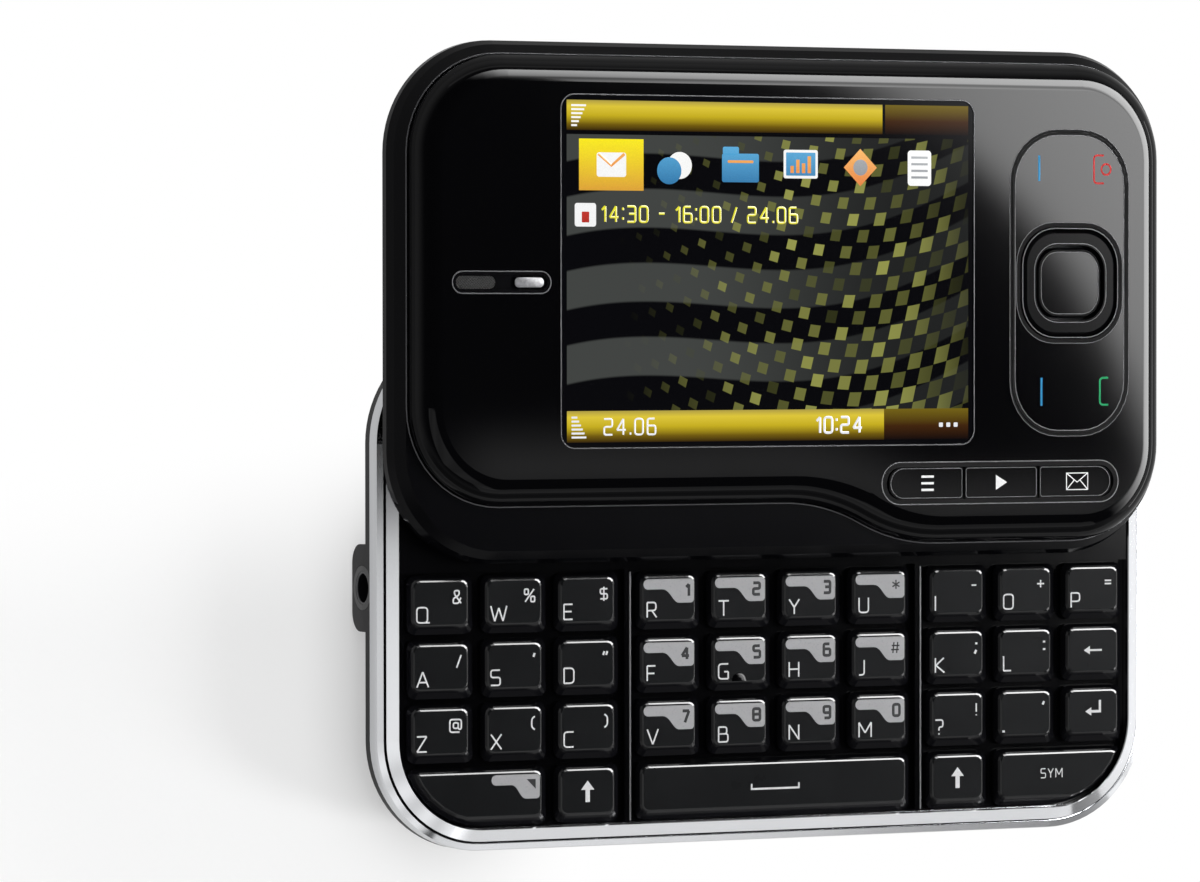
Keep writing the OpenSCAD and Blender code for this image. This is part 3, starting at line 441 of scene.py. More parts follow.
@dataclass(frozen=True)
class ScreenFinish(Surface):
    """The lit display under its window: bars over a backdrop of bands and lozenges."""

    middle: Point
    size: Point
    top_bar: float = 0.912
    low_bar: float = 0.092
    lattice: float = 2.5

    def inputs(self, graph: Graph) -> dict:
        """The shader's inputs.

        Args:
            graph: the material's graph.

        Returns:
            Each input's value or link, by its socket's name.
        """
        x, y, _ = graph.split(graph.place())
        u = (x - (self.middle[0] - self.size[0] / 2)) / self.size[0]
        v = (y - (self.middle[1] - self.size[1] / 2)) / self.size[1]
        glow = self.backdrop(graph, x - self.middle[0], y - self.middle[1], u, v)
        glow = self.bars(graph, u, v, glow)
        inside = u.above(0.0) * u.below(1.0) * v.above(0.0) * v.below(1.0)
        return {
            "Base Color": (0.003, 0.003, 0.004),
            "Roughness": graph.noise(graph.place(), 12.0, 3.0) * 0.05 + 0.05,
            "Specular IOR Level": 0.02,
            "Emission Color": graph.mix(inside, BLACK, glow),
            "Emission Strength": 1.0,
        }

    def backdrop(self, graph: Graph, x: Wire, y: Wire, u: Wire, v: Wire) -> Socket:
        """Grey bands that sweep across black, with a field of olive lozenges at the right.

        Args:
            graph: the material's graph.
            x: distance from the display's middle.
            y: height over the display's middle.
            u: share of the width.
            v: share of the height.

        Returns:
            The glow's colour.
        """
        swing = (x * 0.085 + 0.6).math("SINE") * 3.4
        level = (y + swing - x * 0.22) / 8.2
        band = self.off_middle(level).smooth(0.22, 0.26)
        fade = (1.0 - u.smooth(0.25, 0.85)) * 0.75 + 0.25
        grey = graph.ramp(band * fade, [(0.0, BLACK), (1.0, (0.052, 0.056, 0.052))])
        # the lozenges lie on a slanting lattice and shrink towards the left
        bend = y - (x * x) * 0.012
        along = (x * 0.86 + bend * 0.5) / self.lattice
        across = (bend * 0.86 - x * 0.5) / self.lattice
        grow = (u * 0.34 + (1.0 - v) * 0.12) + 0.08
        mark = (self.off_middle(along) + self.off_middle(across) - grow).smooth(0.012, -0.012)
        corner = {0: along.math("FLOOR"), 1: across.math("FLOOR"), 2: 0.0}
        cell = graph.node("CombineXYZ", None, corner).outputs[0]
        drawn = graph.node("TexWhiteNoise", {"noise_dimensions": "2D"}, {"Vector": cell})
        tone = Wire(graph, drawn.outputs[0])
        reach = u.smooth(0.12, 0.6) * (1.0 - u.smooth(0.8, 1.02) * 0.85)
        olive = graph.mix(tone, (0.05, 0.055, 0.012), (0.3, 0.31, 0.075))
        return graph.mix(mark * reach * (tone * 0.5 + 0.5), grey, olive)

    @staticmethod
    def off_middle(value: Wire) -> Wire:
        """How far a repeating value is from the middle of its step, 0 to 0.5."""
        return (value.math("FRACT") - 0.5).math("ABSOLUTE")

    def bars(self, graph: Graph, u: Wire, v: Wire, backdrop: Socket) -> Socket:
        """Lays the yellow bars at the top and the bottom, with a brown tab in each, over the backdrop.

        Args:
            graph: the material's graph.
            u: share of the width.
            v: share of the height.
            backdrop: glow under the bars.

        Returns:
            The glow's colour.
        """
        yellow = [
            (0.0, (0.03, 0.014, 0.0)),
            (0.2, (0.16, 0.1, 0.002)),
            (0.5, (0.56, 0.42, 0.012)),
            (0.8, (0.72, 0.56, 0.04)),
            (1.0, (0.42, 0.33, 0.06)),
        ]
        brown = [(0.0, (0.004, 0.001, 0.0)), (0.45, (0.05, 0.016, 0.001)), (1.0, (0.17, 0.12, 0.006))]
        tab, in_top = u.above(0.785), v.above(self.top_bar)
        top, low = (
            graph.mix(tab, graph.ramp(share, yellow), graph.ramp(share, brown))
            for share in ((v - self.top_bar) / (1.0 - self.top_bar), v / self.low_bar)
        )
        dark_line = v.above(self.top_bar - 0.012) * v.below(self.top_bar)
        dark_line = dark_line.math("MAXIMUM", u.above(0.781) * u.below(0.788) * in_top)
        over_top = graph.mix(dark_line, graph.mix(in_top, backdrop, top), BLACK)
        return graph.mix(v.below(self.low_bar), over_top, low)


@dataclass(frozen=True)
class MeshFinish(Surface):
    """Woven metal gauze behind a sound opening."""

    pitch: float = 0.32
    colour: Colour = (0.03, 0.03, 0.03)

    def inputs(self, graph: Graph) -> dict:
        """The shader's inputs.

        Args:
            graph: the material's graph.

        Returns:
            Each input's value or link, by its socket's name.
        """
        x, y, _ = graph.split(graph.place())
        turn = 2 * math.pi / self.pitch
        weave = (x * turn).math("SINE") * (y * turn).math("SINE")
        return {
            "Base Color": graph.mix(weave.smooth(-0.4, 0.5), (0.004, 0.004, 0.004), self.colour),
            "Specular IOR Level": 0.1,
            "Roughness": 0.38,
            "Normal": graph.bump(weave, 0.04),
        }


class Look(Enum):
    """The phone's finishes."""

    GLOSS = Finish("front_gloss", (0.0018, 0.0018, 0.0022), 0.05, shine=0.14, drift=0.1)
    BEZEL = Finish(
        "bezel_satin", (0.0015, 0.0015, 0.002), 0.14, shine=0.08, grain_size=0.16, grain_depth=0.003
    )
    DECK = Finish("deck_black", (0.0012, 0.0012, 0.0015), 0.12, shine=0.08, smudge=0.3, smudge_size=5.0)
    SHELL = Finish(
        "shell_black", (0.006, 0.006, 0.007), 0.4, shine=0.2, grain_size=0.2, grain_depth=0.02, drift=0.2
    )
    DOOR = Finish(
        "door_black", (0.009, 0.009, 0.0105), 0.42, grain_size=0.5, grain_depth=0.03,
        grain_stretch=(0.12, 1.0, 1.0), drift=0.2,
    )
    KEY = KeyFinish(
        "key_black", (0.0052, 0.0055, 0.006), 0.3, shine=0.03, grain_size=0.13, grain_depth=0.012,
        drift=0.25, smudge_size=4.0,
    )
    FRAME = FrameFinish("frame_silver", (0.74, 0.75, 0.77), 0.07, 1.0, smudge_size=6.0, drift=0.04)
    STEEL = Finish(
        "rail_steel", (0.56, 0.56, 0.57), 0.28, 1.0, grain_size=0.3, grain_depth=0.01,
        grain_stretch=(1.0, 0.04, 1.0),
    )
    DARK_STEEL = Finish(
        "dark_steel", (0.11, 0.11, 0.118), 0.34, 1.0, grain_size=0.35, grain_depth=0.012,
        grain_stretch=(0.04, 1.0, 1.0), drift=0.18,
    )
    MODULE = Finish("module_metal", (0.5, 0.5, 0.5), 0.35, 1.0, grain_size=0.5, grain_depth=0.01)
    RING = Finish("ring_metal", (0.0022, 0.0022, 0.0026), 0.13, shine=0.03, smudge=0.25)
    SILICONE = Finish("silicone", (0.05, 0.05, 0.055), 0.6, grain_size=0.3, grain_depth=0.02)
    WRAP = Finish("battery_wrap", (0.08, 0.085, 0.095), 0.35, grain_size=0.8, grain_depth=0.01)
    BOARD = Finish(
        "board_green", (0.008, 0.07, 0.025), 0.3, coat=0.4, grain_size=0.7, grain_depth=0.02, drift=0.4
    )
    SIDE_KEY = Finish("side_key_black", (0.01, 0.01, 0.011), 0.24, grain_size=0.2, grain_depth=0.01)
    SOCKET = Finish("socket_black", (0.006, 0.006, 0.007), 0.2, smudge=0.3, smudge_size=3.0)
    LENS = Finish("lens_glass", (0.004, 0.004, 0.012), 0.03, coat=1.0, smudge=0.3, drift=0.5)
    # The two line finishes below are painted highlights: pale lines laid along edges where light catches
    # them. The paler one also colours the headset socket's ring.
    PAINTED_HIGHLIGHT = Finish("edge_line", (0.075, 0.075, 0.08), 0.5, shine=0.2, smudge_size=14.0, drift=0.5)
    PALE_RING_AND_PAINTED_HIGHLIGHT = Finish("pale_edge_line", (0.11, 0.11, 0.115), 0.5, shine=0.2, smudge_size=10.0, drift=0.5)
    # Painted shade: a dark sheet laid in grooves and gaps where shade falls.
    PAINTED_GROOVE_SHADE = Finish("groove_shade", (0.0008, 0.0008, 0.0009), 0.7, shine=0.05)
    GOLD = Finish("gold_contact", (0.75, 0.5, 0.18), 0.25, 1.0, drift=0.1, smudge_size=0.5)
    GAUZE = MeshFinish("gauze")
    SENSOR = Finish("sensor_lens", (0.17, 0.17, 0.18), 0.3, coat=0.3, smudge_size=0.24, drift=0.9)
    WHITE_INK = PrintFinish("white_ink", (0.66, 0.66, 0.67))
    GREY_INK = PrintFinish("grey_ink", (0.33, 0.33, 0.34), 0.36)
    DARK_INK = PrintFinish("dark_ink", (0.01, 0.01, 0.011))
    BLUE_INK = PrintFinish("blue_ink", (0.01, 0.2, 0.42), glow=0.1)
    RED_INK = PrintFinish("red_ink", (0.45, 0.012, 0.012), glow=0.05)
    GREEN_INK = PrintFinish("green_ink", (0.006, 0.24, 0.085), glow=0.05)
    SYMBOL_INK = PrintFinish("symbol_ink", (0.8, 0.8, 0.8), glow=0.08)

    def material(self) -> Material:
        """The finish's material, made once.

        Returns:
            The material.
        """
        if self not in MADE:
            MADE[self] = self.value.build()
            MADE[self].name = f"finish_{self.value.name}"
        return MADE[self]


MADE: dict[Look, Material] = {}


# ------------------------------------------------------------------ modelling tools


def added(name: str, data: bpy.types.ID) -> Object:
    """A new object in the scene.

    Args:
        name: its name.
        data: its mesh, curve, lamp or camera.

    Returns:
        The object.
    """
    made = bpy.data.objects.new(name, data)
    bpy.context.scene.collection.objects.link(made)
    return made


def meshed(name: str, bm: bmesh.types.BMesh) -> bpy.types.Mesh:
    """A new mesh with what a bmesh holds. The bmesh is freed.

    Args:
        name: its name.
        bm: the bmesh.

    Returns:
        The mesh.
    """
    mesh = bpy.data.meshes.new(name)
    bm.to_mesh(mesh)
    bm.free()
    return mesh


@dataclass
class Part:
    """One new piece, gathered in a bmesh in millimetres and then set on a body."""

    name: str
    bm: bmesh.types.BMesh = field(default_factory=bmesh.new)

    def take(self, mesh: bpy.types.Mesh, move: Matrix) -> None:
        """Adds a mesh, moved by a matrix, and removes the mesh's data.

        Args:
            mesh: the mesh.
            move: the matrix.
        """
        before = set(self.bm.verts)
        self.bm.from_mesh(mesh)
        fresh = [v for v in self.bm.verts if v not in before]
        bmesh.ops.transform(self.bm, matrix=move, verts=fresh)
        bpy.data.meshes.remove(mesh)

    def curve(self, data: Curve, at: Sequence[float] = (0, 0, 0), flat: float = 1.0) -> None:
        """Adds a curve's surface, moved to at and its thickness scaled by flat.

        Args:
            data: the curve, which is removed.
            at: its new place.
            flat: factor on its thickness.
        """
        holder = added(data.name, data)
        graph = bpy.context.evaluated_depsgraph_get()
        mesh = bpy.data.meshes.new_from_object(holder.evaluated_get(graph))
        bpy.data.objects.remove(holder)
        bpy.data.curves.remove(data)
        self.take(mesh, Matrix.Translation(Vector(at)) @ Matrix.Diagonal((1, 1, flat, 1)))

    def line(self, points: Rows, width: float, z: float, flat: float = 0.1, closed: bool = False) -> None:
        """Adds a round line through the points.

        Args:
            points: its points.
            width: its width.
            z: height of its middle, over the points' own height.
            flat: its thickness as a share of its width.
            closed: whether it closes.
        """
        self.curve(Pen.stroke(points, width, closed), (0, 0, z), flat)

    def shape(self, points: Sequence[Point], z: float, at: Point = (0, 0)) -> None:
        """Adds a thin filled shape with straight sides through the points, moved to at and z."""
        self.curve(Pen.outline(points), (*at, z))

    def plate(
        self, w: float, h: float, r: float, t: float, at: Sequence[float], hole: float = 0.0,
        bevel: float = 0.0,
    ) -> None:
        """Adds a rounded plate, or with hole a frame that is hole wide.

        Args:
            w: width.
            h: height.
            r: radius at its corners.
            t: thickness.
            at: middle of its underside.
            hole: width of the frame's band, or 0 for a full plate.
            bevel: size of the bevel round its upper face.
        """
        part = bmesh.new()
        bmesh.ops.create_grid(part, x_segments=1, y_segments=1, size=0.5)
        bmesh.ops.scale(part, vec=(w, h, 1), verts=part.verts)
        bmesh.ops.bevel(
            part, geom=part.verts[:], affect="VERTICES", offset=r, segments=8, profile=0.5, material=-1
        )
        if hole:
            bmesh.ops.inset_region(
                part, faces=part.faces[:], thickness=hole, use_boundary=True, use_even_offset=True
            )
            middle = max(part.faces, key=lambda f: len(f.verts))
            bmesh.ops.delete(part, geom=[middle], context="FACES_ONLY")
        pushed = bmesh.ops.extrude_face_region(part, geom=part.faces[:])["geom"]
        top = [g for g in pushed if isinstance(g, bmesh.types.BMVert)]
        bmesh.ops.translate(part, vec=(0, 0, t), verts=top)
        if bevel:
            raised = set(top)
            rim = [
                e for e in part.edges
                if raised.issuperset(e.verts) and abs(e.calc_face_angle(0.0)) > 0.5
            ]
            bmesh.ops.bevel(
                part, geom=rim, affect="EDGES", offset=bevel, segments=3, profile=0.5, material=-1
            )
        bmesh.ops.recalc_face_normals(part, faces=part.faces[:])
        self.take(meshed(self.name, part), Matrix.Translation(Vector(at)))

    def disc(
        self, r: float, t: float, at: Sequence[float], turn: Matrix = Matrix.Identity(4), sides: int = 48
    ) -> None:
        """Adds a round disc with a softened rim, its axis along Z before turn.

        Args:
            r: radius.
            t: thickness.
            at: middle of its underside before turn.
            turn: its turn.
            sides: number of its sides.
        """
        part = bmesh.new()
        bmesh.ops.create_cone(
            part, cap_ends=True, segments=sides, radius1=r, radius2=r, depth=t,
            matrix=Matrix.Translation((0, 0, t / 2)),
        )
        rim = [e for e in part.edges if abs(e.verts[0].co.z - e.verts[1].co.z) < 1e-6]
        bmesh.ops.bevel(
            part, geom=rim, affect="EDGES", offset=min(0.05, t / 4), segments=2, profile=0.5, material=-1
        )
        self.take(meshed(self.name, part), Matrix.Translation(Vector(at)) @ turn)

    def place_on(self, body: str, look: Look, slot: str, smooth: bool = False) -> Object:
        """Makes the object, gives it its finish and lets it ride on a body.

        Args:
            body: the CAD body that carries it.
            look: its finish.
            slot: not used.
            smooth: whether its faces are shaded smooth.

        Returns:
            The new object.
        """
        bmesh.ops.scale(self.bm, vec=(MM, MM, MM), verts=self.bm.verts)
        made = added(self.name, meshed(self.name, self.bm))
        for polygon in made.data.polygons:
            polygon.use_smooth = smooth
        made.data.materials.append(look.material())
        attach(made, body)
        LOG.info("%s: %d faces on %s", self.name, len(made.data.polygons), body)
        return made


def plated(name: str, body: str, look: Look, slot: str, plate: Sequence, smooth: bool = False) -> None:
    """Makes a piece that is a single plate.

    Args:
        name: the piece's name.
        body: the CAD body that carries it.
        look: its finish.
        slot: handed on to Part.place_on, which does not use it.
        plate: what Part.plate is told.
        smooth: whether its faces are shaded smooth.
    """
    part = Part(name)
    part.plate(*plate)
    part.place_on(body, look, slot, smooth)


class Pen:
    """Draws flat outlines, strokes and characters as curves."""

    @staticmethod
    def sheet() -> Curve:
        """An empty curve that fills what it encloses, as thick as a print.

        Returns:
            The curve.
        """
        data = bpy.data.curves.new("print", "CURVE")
        data.dimensions = "2D"
        data.fill_mode = "BOTH"
        data.extrude = PRINT / 2
        return data

    @staticmethod
    def run(data: Curve, points: Rows, closed: bool) -> Curve:
        """Adds straight runs through the points, which lie at height 0 unless they tell one.

        Args:
            data: the curve that gets them.
            points: the points.
            closed: whether the last joins the first.

        Returns:
            The curve.
        """
        line = data.splines.new("POLY")
        line.points.add(len(points) - 1)
        for made, point in zip(line.points, points):
            made.co = (*(*point, 0)[:3], 1)
        line.use_cyclic_u = closed
        return data

    @classmethod
    def outline(cls, points: Sequence[Point]) -> Curve:
        """A filled shape with straight sides through the points."""
        return cls.run(cls.sheet(), points, True)

    @classmethod
    def bent(cls, knots: Sequence[Sequence[Point]]) -> Curve:
        """A filled shape through Bezier knots, each its point, left handle and right handle.

        Args:
            knots: each knot's three points.

        Returns:
            The curve.
        """
        data = cls.sheet()
        data.resolution_u = 10
        line = data.splines.new("BEZIER")
        line.bezier_points.add(len(knots) - 1)
        for made, (co, left, right) in zip(line.bezier_points, knots):
            made.co = (*co, 0)
            made.handle_left = (*left, 0)
            made.handle_right = (*right, 0)
        line.use_cyclic_u = True
        return data

    @classmethod
    def stroke(cls, points: Rows, width: float, closed: bool = False) -> Curve:
        """A round line through the points.

        Args:
            points: its points.
            width: its width.
            closed: whether its end joins its start.

        Returns:
            The curve.
        """
        data = bpy.data.curves.new("stroke", "CURVE")
        data.dimensions = "3D"
        data.bevel_depth = width / 2
        data.bevel_resolution = 2
        data.use_fill_caps = True
        return cls.run(data, points, closed)

    @staticmethod
    def strokes(character: str) -> list[tuple[list[Point], bool]]:
        """The lines of one of the plain characters, and whether each closes.

        Args:
            character: the character.

        Returns:
            Points of each line, and whether it closes.
        """
        made = []
        for stroke in GLYPHS[character].split("|"):
            head, *pairs = stroke.split()
            closed = head.startswith("o")
            points = [tuple(float(n) for n in pair.split(",")) for pair in pairs]
            radius = float(head.strip("o"))
            if radius:
                made.append((softened(points, radius, closed), closed))
            else:
                made += [(list(pair), False) for pair in zip(points, points[1:])]
        return made

    @classmethod
    def write(
        cls, part: Part, text: str, height: float, at: Sequence[float], width: float,
        share: float = 0.0, broad: float = 1.0,
    ) -> None:
        """Writes plain characters with strokes of an even width.

        Args:
            part: the piece that gets them.
            text: the characters.
            height: height of a capital.
            at: left end of the baseline, or the point of the line that share tells.
            width: width of a stroke.
            share: share of the line's length that lies left of at.
            broad: how much broader the characters are than drawn.
        """
        gap, space = 0.32, 0.5
        pen, lines = 0.0, []
        for character in text:
            if character == " ":
                pen += space
                continue
            strokes = cls.strokes(character)
            lines += [([(x + pen, y) for x, y in points], closed) for points, closed in strokes]
            pen += max(x for points, _ in strokes for x, _ in points) + gap
        shift = -(pen - gap) * share
        for points, closed in lines:
            placed = [((x + shift) * height * broad, y * height) for x, y in points]
            part.curve(cls.stroke(placed, width, closed), at, 0.1)


# Own plain characters. Each stroke is its corner radius, with o before it where the stroke closes,
# and its points in shares of the capitals' height.
GLYPHS = {
    "A": "0 0,0 .36,1 .72,0|0 .13,.32 .59,.32",
    "B": "0 0,0 0,1|.16 0,1 .52,1 .52,.54 0,.54|.16 0,.54 .6,.54 .6,0 0,0",
    "C": ".22 .6,1 0,1 0,0 .6,0",
    "D": ".26 0,0 .62,0 .62,1 0,1|0 0,0 0,1",
    "E": "0 .54,1 0,1 0,0 .54,0|0 0,.52 .48,.52",
    "F": "0 .52,1 0,1 0,0|0 0,.5 .46,.5",
    "G": ".22 .62,1 0,1 0,0 .62,0|0 .62,0 .62,.48 .36,.48",
    "H": "0 0,0 0,1|0 .62,0 .62,1|0 0,.52 .62,.52",
    "I": "0 0,0 0,1",
    "J": ".18 .34,1 .34,0 0,0",
    "K": "0 0,0 0,1|0 .56,1 .04,.5 .6,0",
    "L": "0 0,1 0,0 .5,0",
    "M": "0 0,0 0,1 .4,.3 .8,1 .8,0",
    "N": "0 0,0 0,1|0 0,.98 .62,.02|0 .62,0 .62,1",
    "O": "o.22 0,0 .64,0 .64,1 0,1",
    "P": "0 0,0 0,1|.2 0,1 .58,1 .58,.42 0,.42",
    "Q": "o.22 0,0 .66,0 .66,1 0,1|0 .4,0 .8,0",
    "R": "0 0,0 0,1|.2 0,1 .56,1 .56,.46 0,.46|0 .3,.46 .6,0",
    "S": ".16 .56,1 0,1 0,.52 .58,.52 .58,0 0,0",
    "T": "0 0,1 .66,1|0 .33,1 .33,0",
    "U": ".22 0,1 0,0 .62,0 .62,1",
    "V": "0 0,1 .35,0 .7,1",
    "W": "0 0,1 .24,0 .5,.86 .76,0 1,1",
    "X": "0 0,0 .66,1|0 0,1 .66,0",
    "Y": "0 0,1 .33,.46 .66,1|0 .33,.46 .33,0",
    "Z": "0 0,1 .6,1 0,0 .6,0",
    "?": ".16 0,1 .5,1 .5,.52 .24,.52 .24,.28|0 .24,0 .24,.1",
    ".": "0 0,0 0,.14",
    "!": "0 .1,1 .1,.3|0 .1,0 .1,.1",
    ",": "0 .12,1 0,.72",
    "'": "0 .1,1 0,.7",
    '"': "0 .1,1 0,.7|0 .34,1 .24,.7",
    "/": "0 0,0 .36,1",
    "&": ".12 .62,0 .1,.72 .1,1 .46,1 .46,.66 0,.36 0,0 .4,0 .6,.44",
    "%": "0 .05,0 .75,1|o.1 0,.58 .3,.58 .3,1 0,1|o.1 .5,0 .8,0 .8,.42 .5,.42",
    "$": ".14 .56,.9 0,.9 0,.5 .56,.5 .56,.1 0,.1|0 .28,-.06 .28,1.06",
    "-": "0 0,.55 .4,.55",
    "+": "0 0,.55 .6,.55|0 .3,.25 .3,.85",
    "=": "0 0,.7 .56,.7|0 0,.44 .56,.44",
    ";": "0 .14,.76 .14,.92|0 .14,.3 0,0",
    ":": "0 0,.76 0,.92|0 0,.14 0,.3",
    "@": "o.16 .28,.3 .66,.3 .66,.74 .28,.74|.2 .66,.74 .66,.22 .9,.22 .9,1 0,1 0,0 .76,0",
    "(": ".2 .24,1.06 0,.86 0,.2 .24,0",
    ")": ".2 0,1.06 .24,.86 .24,.2 0,0",
    "0": "o.2 0,0 .56,0 .56,1 0,1",
    "1": "0 0,.76 .24,1 .24,0",
    "2": ".14 0,1 .56,1 .56,.5 0,.5 0,0 .58,0",
    "3": ".14 0,1 .56,1 .56,0 0,0|0 .12,.52 .56,.52",
    "4": "0 .44,0 .44,1 0,.3 .62,.3",
    "5": ".14 .54,1 0,1 0,.56 .56,.56 .56,0 0,0",
    "6": ".14 .5,1 0,1 0,0 .56,0 .56,.56 0,.56",
    "7": "0 0,1 .56,1 .2,0",
    "8": "o.16 0,0 .58,0 .58,1 0,1|0 .06,.52 .52,.52",
    "9": ".14 .06,0 .56,0 .56,1 0,1 0,.46 .56,.46",
    "*": "0 .32,.2 .32,1|0 0,.4 .64,.8|0 0,.8 .64,.4",
    "#": "0 .16,.04 .26,1|0 .5,.04 .6,1|0 0,.34 .7,.34|0 .06,.7 .76,.7",
}


def softened(points: Sequence[Point], r: float, closed: bool) -> list[Point]:
    """Rounds the corners of a line of points.

    Args:
        points: the line's points.
        r: distance from a corner at which its rounding starts.
        closed: whether the line closes.

    Returns:
        The points with each corner replaced by a short curve.
    """
    made: list[Point] = []
    count = len(points)
    for i, point in enumerate(points):
        if not closed and i in (0, count - 1):
            made.append(point)
            continue
        here = Vector(point)
        back = Vector(points[i - 1]) - here
        ahead = Vector(points[(i + 1) % count]) - here
        start = here + back.normalized() * min(r, back.length / 2)
        end = here + ahead.normalized() * min(r, ahead.length / 2)
        for step in range(5):
            t = step / 4
            spot = start * (1 - t) ** 2 + here * 2 * t * (1 - t) + end * t**2
            made.append((spot.x, spot.y))
    return made


def arc(centre: Point, r: float, start: float, end: float, steps: int = 12) -> list[Point]:
    """Points along an arc, with its angles in degrees."""
    turns = [math.radians(start + (end - start) * i / steps) for i in range(steps + 1)]
    return [(centre[0] + r * math.cos(t), centre[1] + r * math.sin(t)) for t in turns]


# ------------------------------------------------------------------ the phone's parts


@dataclass
class Keyboard:
    """Legends of the keys. A key's face is the flat inside its sloping skirts."""

    rib_top: float = 8.2
    face_less: Point = (1.5, 1.7)  # how much narrower and lower a face is than its key
    face_shift: Point = (-0.3, 0.24)  # how far its middle lies from the key's
    letter_height: float = 1.68
    sign_height: float = 1.4
    sign_inset: Point = (0.75, 1.05)
    number_height: float = 1.3
    number_inset: Point = (0.68, 0.88)
    pen_width: float = 0.18
    number_pen: float = 0.34
    mark_x: float = 3.1
    mark_size: Space = (0.95, 0.95, 0.2)
    signs: str = "Q& W% E$ I- O+ P= A/ S' D\" K; L: Z@ X( C) ?! .,"
    numbers: str = "R1 T2 Y3 U* F4 G5 H6 J# V7 B8 N9 M0"
    pens: dict[str, float] = field(
        default_factory=lambda: {
            "*": 0.17, "#": 0.16, ".": 0.34, ":": 0.32, ";": 0.28, "'": 0.26, '"': 0.24, ",": 0.26
        }
    )

    @staticmethod
    def key(letter: str) -> str:
        """The name of the key that bears a letter."""
        return "key_" + {"?": "question", ".": "period"}.get(letter, letter.lower())

    def face(self, key: str) -> tuple[float, float, float, float, float]:
        """Left, right, lower and upper edge of a key's face, and its height.

        Args:
            key: the key's node.

        Returns:
            The four edges and the height.
        """
        low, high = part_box(key)
        left = low.x / MM + self.face_less[0] / 2 + self.face_shift[0]
        right = high.x / MM - self.face_less[0] / 2 + self.face_shift[0]
        lower = low.y / MM + self.face_less[1] / 2 + self.face_shift[1]
        upper = high.y / MM - self.face_less[1] / 2 + self.face_shift[1]
        return left, right, lower, upper, high.z / MM

    def middle(self, key: str) -> Space:
        """Middle of a key's face."""
        left, right, lower, upper, z = self.face(key)
        return (left + right) / 2, (lower + upper) / 2, z

    def letter(self, part: Part, key: str, text: str, inset: float) -> None:
        """Adds a key's main character, at the lower left of its face and inset from its left edge.

        Args:
            part: the piece that gets it.
            key: the key's node.
            text: the character.
            inset: its distance from the face's left edge.
        """
        left, _, lower, _, z = self.face(key)
        pen = self.pens.get(text, self.pen_width)
        Pen.write(part, text, self.letter_height, (left + inset, lower + 0.3, z), pen, 0.0, 1.16)

    def sign(self, part: Part, key: str, text: str, height: float, inset: Point, pen: float) -> None:
        """Adds a key's second character, at the upper right of its face.

        Args:
            part: the piece that gets it.
            key: the key's node.
            text: the character.
            height: its height.
            inset: distances from the face's right and upper edge.
            pen: width of a stroke, where the character has none of its own.
        """
        _, right, _, upper, z = self.face(key)
        at = (right - inset[0], upper - inset[1] - height, z)
        Pen.write(part, text, height, at, self.pens.get(text, pen), 1.0, 1.1)

    @staticmethod
    def flag(key: str, corner: Sequence[float], knots: Rows) -> None:
        """Prints a grey flag on a key.

        Args:
            key: the key's node.
            corner: the upper corner that the knots are measured from.
            knots: each knot's distance to the right and downwards, and the places of its two handles:
                downwards for the knots on the flag's upright sides, and to the right for the others.
        """
        x0, y0, z = corner
        bent = []
        for i, (x, down, before, after) in enumerate(knots):
            upright = i in (2, 3, 8)
            ends = [(x, before), (x, after)] if upright else [(before, down), (after, down)]
            bent.append([(x0 + a, y0 - b) for a, b in ((x, down), *ends)])
        part = Part(f"flag_{key}")
        part.curve(Pen.bent(bent), (0, 0, z))
        part.place_on(key, Look.GREY_INK, "key_black")

    def number_flag(self, key: str) -> None:
        """Prints the flag under a key's number.

        Args:
            key: the key's node.
        """
        left, right, _, upper, z = self.face(key)
        w, bar, drop, r = right - left - 0.1, 1.15, 2.7, 0.42
        self.flag(key, (left + 0.05, upper - 0.24, z), [
            (bar / 2, 0, bar * 0.22, 1.6), (w - r, 0, w - 1.6, w - r * 0.45),
            (w, r, r * 0.45, 1.0), (w, drop - r, 1.6, drop - r * 0.45),
            (w - r, drop, w - r * 0.45, w - 0.8), (w - 1.85, drop, w - 1.5, w - 2.65),
            (w - 3.95, bar, w - 2.95, w - 4.4), (bar / 2, bar, 1.4, bar * 0.22),
            (0, bar / 2, bar * 0.78, bar * 0.22),
        ])

    def finger_mark(self) -> None:
        """Adds the low dome that a finger feels at the lower edge of the middle key."""
        left, _, lower, _, z = self.face("key_g")
        mark = Part("finger_mark_key_g")
        at = Matrix.Translation((left + self.mark_x, lower, z)) @ Matrix.Diagonal((*self.mark_size, 1))
        bmesh.ops.create_uvsphere(mark.bm, u_segments=40, v_segments=20, radius=1.0, matrix=at)
        for co, no in [((0, lower, 0), (0, -1, 0)), ((0, 0, z - PRINT), (0, 0, -1))]:
            geom = mark.bm.verts[:] + mark.bm.edges[:] + mark.bm.faces[:]
            bmesh.ops.bisect_plane(mark.bm, geom=geom, plane_co=co, plane_no=no, clear_outer=True)
        mark.place_on("key_g", Look.DECK, "key_black", smooth=True)

